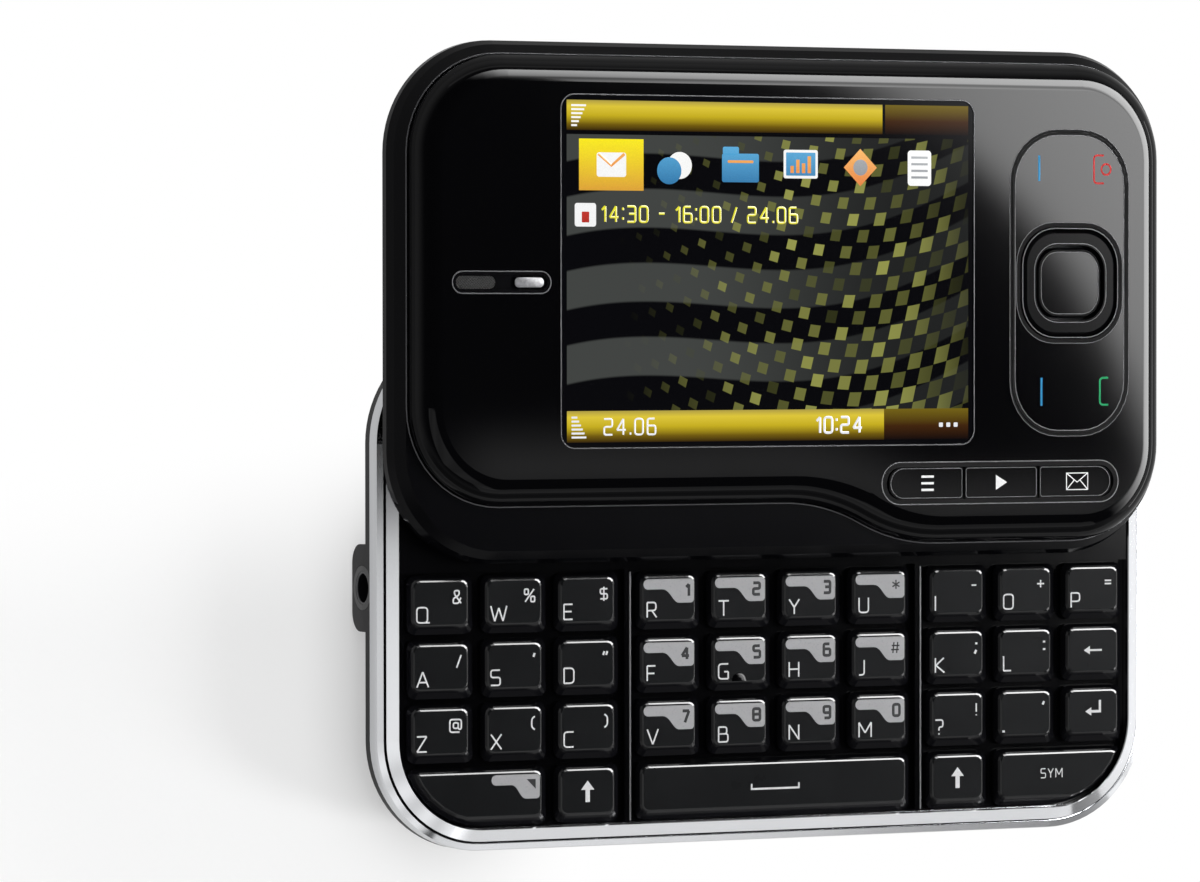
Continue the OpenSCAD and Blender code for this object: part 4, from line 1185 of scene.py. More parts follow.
    def arrow(self, key: str, turn: float, hooked: bool = False) -> None:
        """Prints an arrow in the middle of a key's face, pointing up before it is turned.

        Args:
            key: the key's node.
            turn: degrees that it is turned to the left.
            hooked: whether its tail is bent, as on the enter key.
        """
        x0, y0, z = self.middle(key)
        half, neck, stem = (0.48, 0.4, 0.11) if turn else (0.82, 0.17, 0.27)
        head = [(-half, neck), (0, 1.2), (half, neck), (stem, neck)]
        tail = [(stem, -1.2), (-stem, -1.2), (-stem, neck)]
        if hooked:
            stem = 0.15
            head = [(-half, 0.2), (0, 1.0), (half, 0.2), (stem, 0.2)]
            tail = [(stem, -0.8), (1.3, -0.8), (1.3, -1.1), (-stem, -1.1), (-stem, 0.2)]
        c, s = math.cos(math.radians(turn)), math.sin(math.radians(turn))
        part = Part(f"legend_{key}")
        part.shape([(x * c - y * s, x * s + y * c) for x, y in head + tail], z, (x0, y0))
        part.place_on(key, Look.WHITE_INK, "key_black")

    def build(self) -> None:
        """Prints all the keys."""
        for letter, sign in self.signs.split():
            key = self.key(letter)
            part = Part(f"legend_{key}")
            self.letter(part, key, letter, 0.3)
            self.sign(part, key, sign, self.sign_height, self.sign_inset, self.pen_width)
            part.place_on(key, Look.WHITE_INK, "key_black")
        for letter, number in self.numbers.split():
            key = self.key(letter)
            self.number_flag(key)
            part = Part(f"legend_{key}")
            self.letter(part, key, letter, 0.5)
            part.place_on(key, Look.WHITE_INK, "key_black")
            digit = Part(f"number_{key}")
            self.sign(digit, key, number, self.number_height, self.number_inset, self.number_pen)
            bmesh.ops.translate(digit.bm, vec=(0, 0, PRINT), verts=digit.bm.verts)
            digit.place_on(key, Look.DARK_INK, "key_black")
        self.wide_keys()
        self.rib_painted_highlights()
        self.finger_mark()
        self.arrow("key_backspace", 90)
        self.arrow("key_enter", 90, hooked=True)
        self.arrow("key_shift_left", 0)
        self.arrow("key_shift_right", 0)

    def wide_keys(self) -> None:
        """Prints the space, symbol and function keys."""
        x, y, z = self.middle("key_space")
        part = Part("legend_key_space")
        bracket = [(-3.1, 0.15), (-3.1, -0.55), (3.1, -0.55), (3.1, 0.15),
                   (2.9, 0.15), (2.9, -0.33), (-2.9, -0.33), (-2.9, 0.15)]
        part.shape(bracket, z, (x, y))
        part.place_on("key_space", Look.WHITE_INK, "key_black")

        x, y, z = self.middle("key_symbols")
        part = Part("legend_key_symbols")
        Pen.write(part, "SYM", 1.05, (x - 0.9, y - 0.4, z), 0.12, 0.5)
        part.place_on("key_symbols", Look.WHITE_INK, "key_black")

        _, right, _, upper, z = self.face("key_function")
        x, y = right - 0.15, upper - 0.26
        self.flag("key_function", (x, y, z), [
            (-5.3, 0, -5.65, -4.0), (-0.4, 0, -1.5, -0.18), (0, 0.4, 0.18, 1.0), (0, 2.3, 1.6, 2.55),
            (-0.42, 2.72, -0.18, -0.8), (-1.6, 2.72, -1.2, -2.5), (-3.5, 1.15, -2.6, -4.0),
            (-5.3, 1.15, -5.0, -5.65), (-5.88, 0.575, 0.9, 0.25),
        ])
        part = Part("legend_key_function")
        part.shape([(-1.6, -0.55), (-0.5, -0.55), (-0.5, -1.65)], z + PRINT / 2, (x, y))
        part.place_on("key_function", Look.DARK_INK, "key_black")

    def rib_painted_highlights(self) -> None:
        """Adds a painted highlight, a fine bright line, along each of the deck's ribs."""
        lines = Part("deck_rib_painted_highlights")
        low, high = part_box("key_space")[0].y / MM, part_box("key_e")[1].y / MM
        for before, after in (("key_e", "key_r"), ("key_u", "key_i")):
            x = (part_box(before)[1].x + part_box(after)[0].x) / 2 / MM + 0.2
            lines.plate(0.2, high - low, 0.08, 0.03, (x, (low + high) / 2, self.rib_top), 0.0, 0.01)
        lines.place_on("base", Look.PAINTED_HIGHLIGHT, "key_black", True)


@dataclass
class Front:
    """What is printed on and set into the display half's front, and the painted highlights and painted
    shade along its edges.
    """

    top_z: float = 15.35  # plates and shortcut keys
    face_z: float = 15.3  # panel
    ring_z: float = 15.5
    middle_z: float = 15.35
    shortcut_y: float = -20.5
    panel_half: Point = (47.05, 27.2)

    def build(self) -> None:
        """Makes the front's details."""
        self.call_marks()
        self.shortcut_marks()
        self.shortcut_painted_highlights()
        self.edges()
        self.earpiece()

    @staticmethod
    def hook(x: float, y: float, reach: float, half: float) -> list[Point]:
        """A bracket that opens to the right.

        Args:
            x: its left side.
            y: its middle.
            reach: its width.
            half: half its height.

        Returns:
            Its points.
        """
        r = 0.4
        return [
            (x + reach, y + half), (x + 0.5, y + half), *arc((x + r, y + half - r), r, 90, 180, 4),
            (x, y + r - half), *arc((x + r, y + r - half), r, 180, 270, 4), (x + reach, y - half),
        ]

    def call_marks(self) -> None:
        """Prints the marks of the soft keys and the call keys."""
        z = self.top_z
        blue = Part("soft_key_marks")
        for x, low, high in [(30.4, 13.9, 16.8), (30.7, -11.8, -8.6)]:
            blue.line([(x, low + SLIDE), (x, high + SLIDE)], 0.26, z)
        blue.place_on("softkey_plate", Look.BLUE_INK, "front_gloss")
        green = Part("answer_mark")
        green.line(self.hook(38.4, SLIDE - 10.2, 1.1, 1.55), 0.24, z)
        green.place_on("softkey_plate", Look.GREEN_INK, "front_gloss")
        red = Part("end_mark")
        red.line(self.hook(37.6, SLIDE + 15.3, 1.3, 1.6), 0.22, z)
        red.line(arc((39.2, SLIDE + 15.3), 0.62, 0, 345, 20), 0.22, z, closed=True)
        red.place_on("softkey_plate", Look.RED_INK, "front_gloss")

    def shortcut_marks(self) -> None:
        """Prints the pictograms of the three shortcut keys."""
        z, y = self.top_z, SLIDE + self.shortcut_y
        lines = Part("shortcut_mark_left")
        for row in (0.75, 0.0, -0.75):
            lines.line([(15.1, y + row), (16.7, y + row)], 0.26, z)
        lines.place_on("shortcut_key_left", Look.SYMBOL_INK, "front_gloss")
        play = Part("shortcut_mark_middle")
        play.shape([(24.75, y - 0.85), (26.2, y), (24.75, y + 0.85)], z)
        play.place_on("shortcut_key_middle", Look.SYMBOL_INK, "front_gloss")
        letter = Part("shortcut_mark_right")
        x0, x1, low, high = 34.0, 36.8, y - 0.95, y + 0.95
        letter.line([(x0, low), (x1, low), (x1, high), (x0, high)], 0.16, z, 0.12, closed=True)
        flaps = (
            [(x0, high), (35.4, y - 0.1), (x1, high)], [(x0, low), (35.0, y + 0.12)],
            [(x1, low), (35.8, y + 0.12)],
        )
        for flap in flaps:
            letter.line(flap, 0.13, z, 0.12)
        letter.place_on("shortcut_key_right", Look.SYMBOL_INK, "front_gloss")

    @staticmethod
    def shortcut_painted_highlights() -> None:
        """Adds a painted highlight, a fine bright line, round each shortcut key, round at the slot's ends.
        """
        gap, least_r = 0.16, 0.3
        for name, ends in (("left", (1.0, 0.1)), ("middle", (0.1, 0.1)), ("right", (0.1, 1.0))):
            low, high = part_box(f"shortcut_key_{name}")
            x0, x1 = low.x / MM + gap, high.x / MM - gap
            y0, y1 = low.y / MM + gap, high.y / MM - gap
            r0, r1 = (max(least_r, share * (y1 - y0) / 2) for share in ends)
            points = [
                *arc((x1 - r1, y0 + r1), r1, -90, 0), *arc((x1 - r1, y1 - r1), r1, 0, 90),
                *arc((x0 + r0, y1 - r0), r0, 90, 180), *arc((x0 + r0, y0 + r0), r0, 180, 270),
            ]
            rim = Part(f"shortcut_rim_{name}")
            rim.line(points, 0.11, high.z / MM - 0.01, 0.4, closed=True)
            rim.place_on(f"shortcut_key_{name}", Look.PAINTED_HIGHLIGHT, "front_gloss", True)

    def panel_path(self, inset: float) -> list[Point]:
        """The panel's outline with the wave in its lower edge, drawn in by inset.

        Args:
            inset: how far it is drawn in.

        Returns:
            Its points.
        """
        w, h = self.panel_half[0] - inset, self.panel_half[1] - inset
        r, step, run, start = 10.8 - inset, 4.8, 19.4, -1.0
        wave_r = (run * run + step * step) / (4 * step)
        turn = math.degrees(math.asin(run / (2 * wave_r)))
        points = [
            *arc((w - r, r - h), r, -90, 0), *arc((w - r, h - r), r, 0, 90),
            *arc((r - w, h - r), r, 90, 180), *arc((r - w, step + r - h), r, 180, 270),
            *arc((start, step - wave_r - h), wave_r, 90, 90 - turn, 10),
            *arc((start + run, wave_r - h), wave_r, 270 - turn, 270, 10),
        ]
        return [(x, y + SLIDE) for x, y in points]

    def edges(self) -> None:
        """Adds painted highlights, fine bright lines round the panel, the window, the plates and the ring,
        and painted shade in the grooves beside some of them.
        """
        for name, inset, z, width in (
            ("bezel_lip_painted_highlight", -0.2, 12.4, 0.16), ("panel_foot_painted_highlight", 0.06, 12.62, 0.12)
        ):
            line = Part(name)
            line.line(self.panel_path(inset), width, z, 1.0, closed=True)
            line.place_on("slider", Look.PAINTED_HIGHLIGHT, "bezel_satin", True)
        window = (52.0, 39.2, 1.7, 0.04, (-4, 3.4 + SLIDE, self.face_z), 0.13, 0.01)
        plated("window_edge_line", "slider", Look.PAINTED_HIGHLIGHT, "front_gloss", window, True)
        keys, plate = (25.45, SLIDE + self.shortcut_y), (34.4, 2.25 + SLIDE)
        face, top, ring = self.face_z, self.top_z, self.ring_z
        # chrome and pale are the finishes of the painted highlight lines.
        chrome, pale = Look.PAINTED_HIGHLIGHT, Look.PALE_RING_AND_PAINTED_HIGHLIGHT
        for rim in (
            ("shortcut", "slider", keys, (30.9, 4.9), 2.44, face, 0.12, 0.5, pale),
            ("plate_hole", "slider", plate, (15.7, 35.2), 6.3, face, 0.08, 0.24, chrome),
            ("softkey", "softkey_plate", plate, (15.0, 34.5), 6.0, top, 0.1, 0.3, pale, True),
            ("ring_hole", "softkey_plate", plate, (14.0, 13.9), 4.9, top, 0.08, 0.46, chrome),
            ("ring", "nav_ring", plate, (12.6, 12.6), 4.3, ring, 0.11, 0.0, pale),
            ("ring_inner", "nav_ring", plate, (9.5, 9.1), 3.1, ring, 0.09, 0.0, pale),
            ("middle_key", "nav_center_key", plate, (8.0, 7.6), 2.4, self.middle_z, 0.08, 0.22, pale, True),
        ):
            self.rim(*rim)

    @staticmethod
    def rim(
        name: str, body: str, middle: Point, size: Point, r: float, z: float, line: float,
        groove: float, look: Look, outside: bool = False,
    ) -> None:
        """Adds a painted highlight, a fine bright line, and beside it a dark sheet of painted shade in the
        groove.

        Args:
            name: name of the edge.
            body: the body that carries it.
            middle: its middle.
            size: outer size of the pair.
            r: radius at its corners.
            z: height of the face that it lies on.
            line: width of the painted highlight line.
            groove: width of the painted shade in the groove, or 0 for none.
            look: finish of the painted highlight.
            outside: whether the groove lies outside the edge.
        """
        # A painted highlight line, and a dark sheet of painted shade in the groove beside it.
        rows = [("edge_line", groove if outside else 0.0, 0.03, line, 0.01, look, True)]
        if groove:
            rows.append(("groove", 0.0 if outside else line, 0.01, groove, 0.0, Look.PAINTED_GROOVE_SHADE, False))
        for kind, inset, thick, width, bevel, finish, smooth in rows:
            w, h = size[0] - 2 * inset, size[1] - 2 * inset
            plate = (w, h, r - inset, thick, (*middle, z), width, bevel)
            plated(f"{name}_{kind}", body, finish, "front_gloss", plate, smooth)

    def earpiece(self) -> None:
        """Adds the gauze and the sensor's lens in the earpiece slot, and a painted highlight round the
        slot.
        """
        y = 2.16 + SLIDE
        gauze = (4.7, 1.45, 0.7, 0.12, (-40.1, y, 14.86), 0.0, 0.04)
        rim = (12.0, 2.56, 1.26, 0.04, (-37.1, y, self.face_z), 0.13, 0.01)
        lens = (3.5, 1.1, 0.5, 0.14, (-33.75, y, 15.16), 0.0, 0.05)
        plated("earpiece_gauze", "slider", Look.GAUZE, "bezel_satin", gauze)
        plated("earpiece_edge_line", "slider", Look.PAINTED_HIGHLIGHT, "front_gloss", rim, True)
        plated("sensor_lens", "slider", Look.SENSOR, "bezel_satin", lens, True)


@dataclass
class Display:
    """The lit picture: bars are in the window's finish, and icons are thin glowing pieces."""

    middle: Point = (-4.0, SLIDE + 3.4)
    size: Point = (50.4, 37.8)
    z: float = 15.245  # height of the lit shapes
    icon_v: float = 0.188  # place of the icons, by share of the height from the top
    icon_u: Sequence[float] = (0.108, 0.275, 0.425, 0.575, 0.725, 0.875)  # and of the width
    note: Point = (0.045, 0.335)  # place of the note's mark, by shares of the width and the height

    def at(self, u: float, v: float, layer: float = 0.0) -> Space:
        """A point by its share of the width from the left and of the height from the top.

        Args:
            u: share of the width.
            v: share of the height.
            layer: how many prints it lies over the lowest one.

        Returns:
            The point.
        """
        x = self.middle[0] + (u - 0.5) * self.size[0]
        y = self.middle[1] + (0.5 - v) * self.size[1]
        return x, y, self.z + layer * PRINT

    def shapes(self, name: str, rows: Rows) -> Part:
        """Makes a piece of thin plates and discs.

        Args:
            name: the piece's name.
            rows: each shape's place by shares of the width and the height, its shift in X and Y, its
                width, its height (0 for a disc), its corner radius, and its layer.

        Returns:
            The piece.
        """
        part = Part(name)
        for u, v, dx, dy, w, h, r, layer in rows:
            x, y, z = self.at(u, v, layer)
            if h:
                part.plate(w, h, r, PRINT, (x + dx, y + dy, z))
            else:
                part.disc(r, PRINT, (x + dx, y + dy, z))
        return part

    def light(
        self, part: Part, name: str, top: Colour, bottom: Colour, v0: float = 0.12, v1: float = 0.26
    ) -> None:
        """Places a piece on the display half and lights it.

        Args:
            part: the piece.
            name: its finish.
            top: its glow at share v0 of the display's height and above.
            bottom: its glow at share v1 and below.
            v0: share at which the glow starts to change.
            v1: share at which it ends to change.
        """
        made = part.place_on("slider", Look.SYMBOL_INK, "display_glass")
        finish = LitFinish(name, top, bottom, self.at(0, v0)[1], self.at(0, v1)[1])
        made.material_slots[0].material = finish.build()

    def build(self) -> None:
        """Makes the icons, the signs in the bars and the note."""
        mail, people, folder, chart, kite, page = ((u, self.icon_v) for u in self.icon_u)
        chosen = self.shapes("icon_field", [(*mail, 0, 0, 7.9, 5.7, 0.02, 0)])
        self.light(chosen, "lit_yellow", (0.95, 0.82, 0.0), (0.72, 0.36, 0.03), 0.11)

        dots = [(0.93, 0.957, 0.95 * i, 0, 0.5, 0.5, 0.1, 0) for i in range(3)]
        strength = []
        for v, widest in ((0.074, 5), (0.985, 0)):
            widths = [1.8 - 0.22 * abs(widest - i) for i in range(6)]
            strength += [(0.011, v, w / 2, 0.44 * i, w, 0.22, 0.02, 0) for i, w in enumerate(widths)]
        white = self.shapes("icon_white_shapes", [
            (*mail, 0, 0, 3.6, 2.7, 0.3, 1), (*people, 0, 0, 0, 0, 1.5, 0),
            (*chart, 0, 0.3, 4.3, 3.2, 0.25, 0), (*page, 0, 0, 3.0, 4.0, 0.4, 0),
            (*self.note, 0, 0, 2.6, 2.6, 0.3, 0), *dots, *strength,
        ])
        Pen.write(white, "10:24", 1.75, self.at(0.615, 0.978), 0.27)
        Pen.write(white, "24.06", 1.75, self.at(0.09, 0.978), 0.2)
        self.light(white, "lit_white", (0.95, 0.95, 0.93), (0.8, 0.82, 0.86), 0.0, 1.0)

        blue = self.shapes("icon_blue_shapes", [
            (*people, -1.3, -0.6, 0, 0, 1.5, 1), (*folder, 0, -0.2, 4.6, 3.2, 0.25, 0),
            (*folder, -1.2, 1.7, 2.0, 0.9, 0.2, 0), (*chart, 0, 0.3, 3.7, 2.6, 0.1, 1),
        ])
        self.light(blue, "lit_blue", (0.1, 0.42, 0.72), (0.01, 0.14, 0.34))

        columns = [
            (*chart, -1.1 + 0.72 * i, -0.7 + tall / 2, 0.42, tall, 0.02, 2)
            for i, tall in enumerate((0.8, 1.5, 1.1, 1.9))
        ]
        orange = self.shapes("icon_orange_shapes", [*columns, (*folder, 0, 0.5, 3.2, 0.3, 0.1, 1)])
        x, y, z = self.at(*mail, 2)
        orange.line([(x - 1.6, y + 1.2), (x, y - 0.1), (x + 1.6, y + 1.2)], 0.34, z, 0.08)
        x, y, z = self.at(*kite)
        orange.shape([(-2.1, 0), (0, -2.1), (2.1, 0), (0, 2.1)], z, (x, y))
        self.light(orange, "lit_orange", (0.95, 0.5, 0.12), (0.75, 0.16, 0.02))

        lines = [(*page, 0, 1.2 - 0.75 * i, 2.1, 0.26, 0.02, 1) for i in range(4)]
        grey = self.shapes("icon_grey_shapes", [(*kite, 0, 0, 0, 0, 0.9, 1), *lines])
        self.light(grey, "lit_grey", (0.42, 0.44, 0.46), (0.2, 0.21, 0.23))

        yellow = Part("note_line")
        Pen.write(yellow, "14:30 - 16:00 / 24.06", 1.72, self.at(0.085, 0.355), 0.24)
        self.light(yellow, "lit_note", (0.82, 0.8, 0.02), (0.7, 0.62, 0.02), 0.3, 0.37)
        red = self.shapes("note_mark", [(*self.note, 0, -0.25, 0.9, 1.2, 0.1, 1)])
        self.light(red, "lit_red", (0.6, 0.03, 0.02), (0.4, 0.02, 0.01), 0.3, 0.37)


@dataclass
class BackAndSides:
    """Small fittings on the back, the ends and the display half's underside."""

    camera: Point = (-36.0, 13.5)
    speaker: Point = (-36.0, -13.5)

    def build(self) -> None:
        """Makes the fittings."""
        down = Matrix.Rotation(math.pi, 4, "X")
        glass = Part("camera_glass")
        glass.disc(2.75, 0.1, (*self.camera, 0.72), down)
        glass.place_on("base", Look.LENS, "camera_glass", True)
        ring = (6.2, 6.2, 3.05, 0.14, (*self.camera, 0.2), 0.42, 0.04)
        cloth = (8.4, 8.4, 0.6, 0.2, (*self.speaker, 1.85))
        # The frame's groove gets painted shade: a dark band laid in it.
        groove = (95.76, 56.06, 11.63, 0.03, (0, 0, 7.46), 0.17)
        plated("camera_trim", "base", Look.STEEL, "camera_glass", ring, True)
        plated("speaker_gauze", "base", Look.GAUZE, "shell_black", cloth)
        plated("frame_groove_shade", "base", Look.PAINTED_GROOVE_SHADE, "frame_silver", groove)
        self.jack_ring()
        self.socket_tongue()
        self.screws(down)

    @staticmethod
    def jack_ring() -> None:
        """Adds the metal ring in the headset socket's mouth."""
        ring = Part("jack_contact_ring")
        points = [(-48.62, 0.4 + y, 3.5 + z) for y, z in arc((0, 0), 1.72, 0, 350, 35)]
        ring.line(points, 0.22, 0.0, 1.0, closed=True)
        ring.place_on("base", Look.PALE_RING_AND_PAINTED_HIGHLIGHT, "socket_black", True)

    @staticmethod
    def socket_tongue() -> None:
        """Adds the tongue and its contacts inside the data socket."""
        tongue = (3.0, 5.2, 0.1, 0.5, (45.6, 0.0, 3.5))
        plated("socket_tongue", "base", Look.SOCKET, "socket_black", tongue)
        pins = Part("socket_contacts")
        for i in range(5):
            pins.plate(2.4, 0.4, 0.05, 0.06, (45.7, -1.8 + 0.9 * i, 3.99))
        pins.place_on("base", Look.GOLD, "rail_steel")

    @staticmethod
    def screws(down: Matrix) -> None:
        """Adds the screws in the display half's back plate, with painted shade in their recesses.

        Args:
            down: matrix that turns a disc to face down.
        """
        # The recesses are flat dark discs: painted shade in the screws' hollows.
        heads, marks = Part("plate_screws"), Part("plate_screw_recess_shades")
        for x in (-42.5, 42.5):
            for y in (SLIDE + 6.0, SLIDE + 22.0):
                heads.disc(1.05, 0.16, (x, y, 9.12), down)
                marks.disc(0.5, 0.02, (x, y, 8.97), down, 6)
        heads.place_on("slider", Look.STEEL, "dark_steel", True)
        marks.place_on("slider", Look.DECK, "dark_steel")


# ------------------------------------------------------------------ studio


@dataclass
class Studio:
    """Camera, floor, world and lamps."""

    camera_place: Space = (-313.6, 29.4, 622.7)  # in millimetres
    camera_turns: Space = (-1.0613, -25.4, -0.0565)  # about X, Y and Z, in degrees
    lens: float = 182.57  # focal length on a sensor 36 mm wide
    contact: float = 0.004  # distance in metres within which the floor glows for what lies on it
    mirror_loss: float = 0.42  # share of the floor's glow that mirrors don't see
    front_gap: float = 0.75  # how much darker the sky is low down ahead of the keys
    sun: float = 2.1
    sun_width: float = 14.0
    card_size: Point = (1.5, 1.3)
    card_middle: Space = (0.3, 0.03, 0.6)
    mirror_start: Point = (301.9, -28.3)  # place on the card, in millimetres, of the origin's mirror image
    mirror_scale: float = 1.963  # size on the card of what is 1 mm long on the panel

    def build(self) -> None:
        """Makes the studio."""
        self.camera()
        self.floor()
        self.sky()
        self.card()
        self.lamps()

    def camera(self) -> None:
        """Sets the camera where the photograph was taken from."""
        data = bpy.data.cameras.new("photo_camera")
        data.sensor_width = 36.0
        data.sensor_fit = "HORIZONTAL"
        data.lens = self.lens
        data.clip_start, data.clip_end = 0.01, 20.0
        view = added("photo_camera", data)
        view.location = Vector(self.camera_place) * MM
        view.rotation_euler = [math.radians(turn) for turn in self.camera_turns]
        bpy.context.scene.camera = view

    @staticmethod
    def sheet(name: str, size: Point, at: Space, material: Material) -> Object:
        """Makes a flat sheet.

        Args:
            name: its name.
            size: its sides in metres.
            at: its middle in metres.
            material: its material.

        Returns:
            The sheet.
        """
        bm = bmesh.new()
        bmesh.ops.create_grid(bm, x_segments=1, y_segments=1, size=0.5)
        bmesh.ops.scale(bm, vec=(*size, 1), verts=bm.verts)
        bmesh.ops.translate(bm, vec=at, verts=bm.verts)
        sheet = added(name, meshed(name, bm))
        sheet.data.materials.append(material)
        return sheet

    def floor(self) -> None:
        """Lays the pale floor."""
        floor = self.sheet("floor", (8.0, 8.0), (0, 0, -0.00005), self.floor_finish())

    def floor_finish(self) -> Material:
        """Matt white that keeps the shadow and glows white for the eye and for what lies close on it.

        Returns:
            The material.
        """
        material = bpy.data.materials.new("floor_white")
        graph = Graph(material)
        x, y, _ = graph.split(graph.place())
        paper = graph.noise(graph.place(), 30.0) * 0.006 + 0.93
        inputs = {"Base Color": graph.same(paper), "Roughness": 0.9, "Specular IOR Level": 0.1}
        matt = graph.node("BsdfPrincipled", None, inputs).outputs[0]
        path = graph.node("LightPath")
        eye = Wire(graph, path.outputs["Is Camera Ray"])
        mirrored = Wire(graph, path.outputs["Is Glossy Ray"])
        seen = eye.math("MAXIMUM", mirrored)
        tone = graph.same(1.0 - mirrored * self.mirror_loss)
        white = graph.node("Emission", None, {"Color": tone, "Strength": 1.0})
        close = Wire(graph, path.outputs["Ray Length"]).below(self.contact) * (1.0 - eye)
        clear = (y - x * 0.12).smooth(2.0, 24.0).math("MAXIMUM", x.smooth(-42.0, -20.0))
        far = ((x * x + y * y).math("SQRT")).smooth(80.0, 125.0)
        clear = clear.math("MAXIMUM", far) * 0.6 + 0.4
        share = (seen * clear).math("MAXIMUM", close)
        mixed = graph.node("MixShader", None, {0: share, 1: matt, 2: white.outputs[0]})
        under = graph.node("NewGeometry").outputs["Backfacing"]
        glass = graph.node("BsdfTransparent").outputs[0]
        both = graph.node("MixShader", None, {0: under, 1: mixed.outputs[0], 2: glass})
        graph.end(both.outputs[0])
        return material

    def sky(self) -> None:
        """Makes the sky: white for the eye, and for the phone pale at its foot and dark overhead."""
        world = bpy.data.worlds.new("studio_sky")
        bpy.context.scene.world = world
        graph = Graph(world)
        _, y, height = graph.split(graph.node("TexCoord").outputs["Generated"])
        path = graph.node("LightPath")
        seen = Wire(graph, path.outputs["Is Camera Ray"])
        level = 0.8 - height.smooth(0.12, 0.72) * 0.785
        ahead = (0.0 - y).smooth(0.35, 0.8)
        gap = height.smooth(0.06, 0.13) * (1.0 - height.smooth(0.3, 0.5))
        level = level * (1.0 - ahead * gap * self.front_gap)
        level = seen * (1.0 - level) + level
        inputs = {"Color": WHITE, "Strength": level}
        light = graph.node("Background", None, inputs)
        graph.end(light.outputs[0], "OutputWorld")

    def card(self) -> None:
        """Hangs the card that the front mirrors: black, with pale zones for the panel and the chrome."""
        material = bpy.data.materials.new("mirror_card")
        graph = Graph(material)
        x, y, _ = graph.split(graph.place())
        level = self.panel_zone(x, y) + self.rim_zone(x, y) + self.wave_zone(x, y) + self.west_zone(x, y)
        inputs = {"Color": WHITE, "Strength": level}
        graph.end(graph.node("Emission", None, inputs).outputs[0])
        card = self.sheet("mirror_card", self.card_size, self.card_middle, material)
        card.visible_camera = False
        card.visible_diffuse = False
        card.visible_shadow = False

    @staticmethod
    def away(x: Wire, y: Wire, spot: Point = (300.0, 30.0)) -> Wire:
        """Distance from a spot, which is the card's middle unless told."""
        return ((x - spot[0]) ** 2.0 + (y - spot[1]) ** 2.0).math("SQRT")

    def panel_zone(self, x: Wire, y: Wire) -> Wire:
        """Pale zone outside an arc, mirrored in the upper right of the flat panel.

        Args:
            x: place on the card along X.
            y: place on the card along Y.

        Returns:
            The zone's glow.
        """
        pale = self.away(x, y, (267.0, -38.0)).smooth(125.0, 136.0) * y.above(-20.0) * x.above(250.0)
        pale = pale * self.away(x, y).smooth(230.0, 150.0)
        return pale * ((x - 300.0) * 0.1 + (y - 30.0) * 0.06 + 8.6)

    def rim_zone(self, x: Wire, y: Wire) -> Wire:
        """Bright band round the card's middle, mirrored in the panel's rounded edge.

        Args:
            x: place on the card along X.
            y: place on the card along Y.

        Returns:
            The zone's glow.
        """
        near = self.away(x, y)
        upper_right = ((x - 300.0) * 0.8 + (y - 30.0) * 0.6) / (near + 1.0)
        return near.smooth(170.0, 300.0) * upper_right.smooth(0.1, 0.95) * 38.0

    def wave_zone(self, x: Wire, y: Wire) -> Wire:
        """Faint band along the panel's waved lower edge, mirrored in the flat panel above it.

        Args:
            x: place on the card along X.
            y: place on the card along Y.

        Returns:
            The zone's glow.
        """
        across = (x - self.mirror_start[0]) / self.mirror_scale
        above = (y - self.mirror_start[1]) / self.mirror_scale
        above = above - 13.2 + across.smooth(-1.0, 18.4) * 4.8
        band = above.smooth(7.0, -0.5) * above.smooth(-2.0, -0.8)
        return band * x.smooth(211.0, 230.0) * x.smooth(392.0, 372.0) * 1.7

    @staticmethod
    def west_zone(x: Wire, y: Wire) -> Wire:
        """Pale zone past the card's left end, mirrored in the frame's sloping bands."""
        share = (x + y * 0.64 + 137.7).smooth(30.0, -30.0) * y.smooth(-8.0, -18.0)
        return share * ((x / 38.0 - y / 50.0).math("SINE") * 0.14 + 0.92)

    def lamps(self) -> None:
        """Hangs the low lamp that throws the shadow, and the strips that only glossy parts mirror."""
        sun = bpy.data.lights.new("low_sun", "SUN")
        sun.energy = self.sun
        sun.angle = math.radians(self.sun_width)
        holder = added("low_sun", sun)
        way = Vector((0.92, -0.34, 0.33))
        holder.rotation_euler = way.to_track_quat("Z", "Y").to_euler()
        holder.visible_glossy = False
        fill = self.strip("overhead_fill", (0.0, 0.03, 1.5), (2.4, 2.4), 1.3)
        fill.visible_diffuse, fill.visible_glossy = True, False
        self.strip("key_strip", (0.85, -0.05, 0.11), (0.7, 0.07), 3.6)
        self.strip("east_soft", (0.9, -0.05, 0.32), (0.9, 0.22), 0.52)
        self.strip("top_strip", (0.05, 0.85, 0.45), (0.9, 0.10), 0.65)
        self.strip("front_soft", (0.25, -0.52, 0.45), (0.5, 0.2), 0.8)

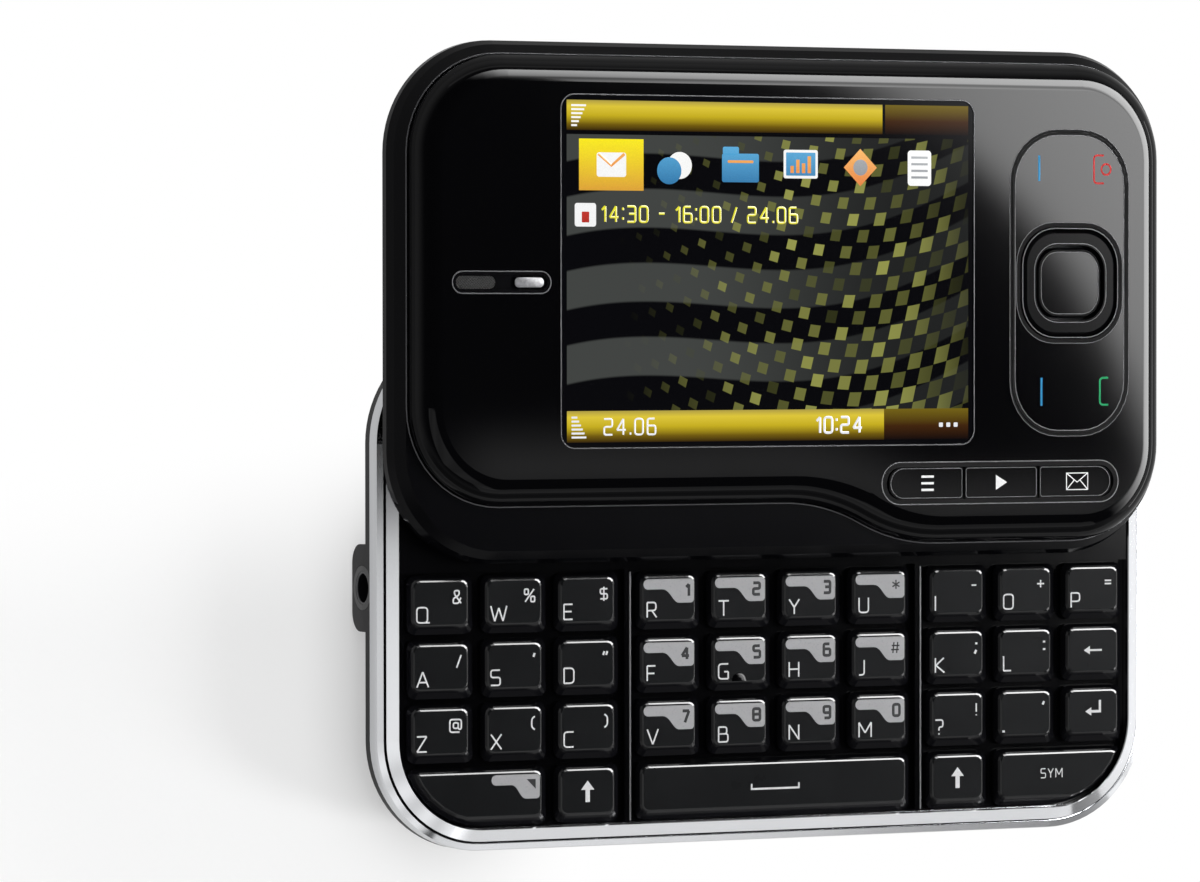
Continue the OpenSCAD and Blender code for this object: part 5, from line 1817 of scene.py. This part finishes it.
    @staticmethod
    def strip(name: str, at: Space, size: Point, glow: float) -> Object:
        """Hangs a soft rectangular lamp that faces the phone and is seen only in glossy parts.

        Args:
            name: its name.
            at: its place in metres.
            size: its width and height in metres.
            glow: how bright it looks.

        Returns:
            The lamp.
        """
        data = bpy.data.lights.new(name, "AREA")
        data.shape = "RECTANGLE"
        data.size, data.size_y = size
        data.energy = glow * math.pi * size[0] * size[1]
        lamp = added(name, data)
        lamp.location = at
        lamp.rotation_euler = (Vector((0, 0.02, 0)) - Vector(at)).to_track_quat("-Z", "Y").to_euler()
        lamp.visible_camera = False
        lamp.visible_diffuse = False
        return lamp


# ------------------------------------------------------------------ putting it together


@dataclass
class Phone:
    """The whole phone: finishes on the CAD nodes, and the pieces that Blender adds."""

    nodes: dict[str, Object]
    looks: dict[Look, str] = field(
        default_factory=lambda: {
            Look.GLOSS: "front_panel softkey_plate nav_center_key",
            Look.BEZEL: "slider_bezel earpiece_insert",
            Look.DARK_STEEL: "slider_back_plate",
            Look.MODULE: "display_module",
            Look.SILICONE: "nav_pad",
            Look.RING: "nav_ring",
            Look.FRAME: "base_frame",
            Look.DECK: "key_deck",
            Look.SHELL: "rear_shell",
            Look.DOOR: "battery_door",
            Look.WRAP: "battery",
            Look.BOARD: "main_board",
            Look.STEEL: "slide_rails",
            Look.SIDE_KEY: "volume_rocker camera_key power_key",
            Look.SOCKET: "audio_jack camera_module",
        }
    )

    def dress(self, name: str, material: Material) -> None:
        """Gives a CAD node its material.

        Args:
            name: the node's name.
            material: the material.
        """
        node = self.nodes[name]
        if not node.material_slots:
            node.data.materials.append(material)
        for slot in node.material_slots:
            slot.material = material
        LOG.info("%s: %s", name, material.name)

    def build(self) -> None:
        """Dresses every node and adds every piece."""
        display = Display()
        for name in self.nodes:
            if name.startswith("shortcut_key_"):
                self.dress(name, Look.GLOSS.material())
            elif name.startswith("key_"):
                self.dress(name, Look.KEY.material())
        for look, names in self.looks.items():
            for name in names.split():
                self.dress(name, look.material())
        picture = ScreenFinish("display_picture", display.middle, display.size)
        self.dress("display_window", picture.build())
        for group in (Keyboard(), Front(), display, BackAndSides()):
            group.build()


def main() -> None:
    """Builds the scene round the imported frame."""
    logging.basicConfig(level=logging.INFO, format="%(message)s")
    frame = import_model()
    Studio().build()
    Phone(frame["nodes"]).build()
    bpy.context.scene.view_settings.view_transform = "Standard"


if __name__ == "__main__":
    main()
